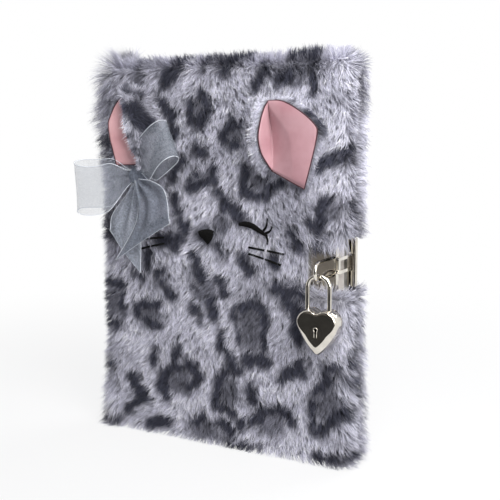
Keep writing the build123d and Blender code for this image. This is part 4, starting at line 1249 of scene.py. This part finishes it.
# Stage
FLOOR_HALF, FLOOR_DROP = 3000.0, 0.05
CARD_HALF, CARD_Z, WALL_TOP = 900, 0.3, 1500
# Cards that only polished metal sees, for dark reflections of a table that is not there: its near edge, and
# where the dark mat starts and ends
REFLECTED_TABLE_Y, REFLECTED_MAT_Y0, REFLECTED_MAT_Y1 = -780, -530, -238
# The camera: focal length and shift in pixels of the picture
PICTURE = 500.0
FOCAL, SHIFT = 825.0, -30.0
SENSOR = 36.0
CAMERA_AT, CAMERA_ALONG = (234.58, -409.13, 174.88), (-0.473, 0.8758, -0.0964)


def make_world():
    """Soft light on the object from a room that looks white."""
    world = bpy.data.worlds.new("studio")
    bpy.context.scene.world = world
    world.use_nodes = True
    tree = Tree(world.node_tree)
    tree.nodes.clear()
    soft = tree.add("ShaderNodeBackground", Color=(0.95, 0.97, 1.0, 1), Strength=0.41)
    white = tree.add("ShaderNodeBackground", Color=(1, 1, 1, 1))
    mix = tree.add("ShaderNodeMixShader", tree.seen_directly(), soft.outputs[0], white.outputs[0])
    tree.add("ShaderNodeOutputWorld", Surface=mix.outputs["Shader"])


def card(name, mat, corners):
    """One plain four-sided face."""
    return from_faces(name, np.array(corners, float), [(0, 1, 2, 3)], mat, smooth=False)


def make_floor():
    """A floor that fades to plain white away from the object and keeps its shadow."""
    mat, tree, shader = new_look("floor")
    tree.set(shader, Base_Color=(0.76, 0.76, 0.77, 1), Roughness=0.9)
    away = tree.add("ShaderNodeVectorMath", tree.coords(), operation="LENGTH").outputs["Value"]
    fade = tree.add("ShaderNodeMapRange", interpolation_type="SMOOTHSTEP", Value=away,
                    From_Min=0.16, From_Max=0.55, To_Min=0.8)
    share = tree.calc("MULTIPLY", tree.seen_directly(), fade.outputs["Result"])
    tree.blend(share, shader, tree.add("ShaderNodeEmission"))
    signs = ((-1, -1), (1, -1), (1, 1), (-1, 1))
    card("floor", mat, [(i * FLOOR_HALF, j * FLOOR_HALF, -FLOOR_DROP) for i, j in signs])


def aimed(name, data, place, direction):
    """A lamp or camera at a place, turned along a direction."""
    obj = bpy.data.objects.new(name, data)
    bpy.context.scene.collection.objects.link(obj)
    obj.location = Vector(place) * MM
    obj.rotation_euler = Vector(direction).to_track_quat("-Z", "Y").to_euler()
    return obj


def make_lamp(name, place, aim, size, power):
    """A square soft lamp."""
    data = bpy.data.lights.new(name, "AREA")
    data.size, data.energy = size * MM, power
    aimed(name, data, place, Vector(aim) - Vector(place))


def mirror_card(name, tone, first, second):
    """A card that only polished metal sees, between two lines along x given by their y and z."""
    mat, tree, shader = new_look(name)
    tree.set(shader, Base_Color=(1.1 * tone, tone, 0.9 * tone, 1), Roughness=0.95)
    left, right = -CARD_HALF, CARD_HALF
    obj = card(name, mat, [(left, *first), (right, *first), (right, *second), (left, *second)])
    obj.visible_camera = False
    obj.visible_diffuse = False
    obj.visible_shadow = False
    obj.visible_transmission = False


def make_camera():
    """The photo's camera."""
    data = bpy.data.cameras.new("camera")
    data.sensor_fit = "HORIZONTAL"
    data.sensor_width = SENSOR
    data.lens = FOCAL / PICTURE * SENSOR
    data.shift_y = SHIFT / PICTURE
    bpy.context.scene.camera = aimed("camera", data, CAMERA_AT, CAMERA_ALONG)


make_world()
make_floor()
# Cards seen only in reflections: staged dark and grey reflections in the metal
mirror_card("reflected_dark_mat", 0.011, (REFLECTED_MAT_Y0, CARD_Z), (REFLECTED_MAT_Y1, CARD_Z))
mirror_card("reflected_grey_mat", 0.28, (REFLECTED_TABLE_Y, CARD_Z), (REFLECTED_MAT_Y0, CARD_Z))
mirror_card("reflected_dark_wall", 0.011, (REFLECTED_TABLE_Y, CARD_Z), (REFLECTED_TABLE_Y, WALL_TOP))
make_lamp("key", (330, -380, 740), (0, 0, 130), 400, 0.85)
make_lamp("top", (170, -180, 390), (20, 0, 205), 200, 0.95)
make_lamp("fill", (480, -260, 320), (20, 0, 150), 360, 2.2)
make_lamp("rim", (300, 700, 620), (0, 0, 110), 500, 4.0)
make_camera()
bpy.context.scene.view_settings.view_transform = "Standard"
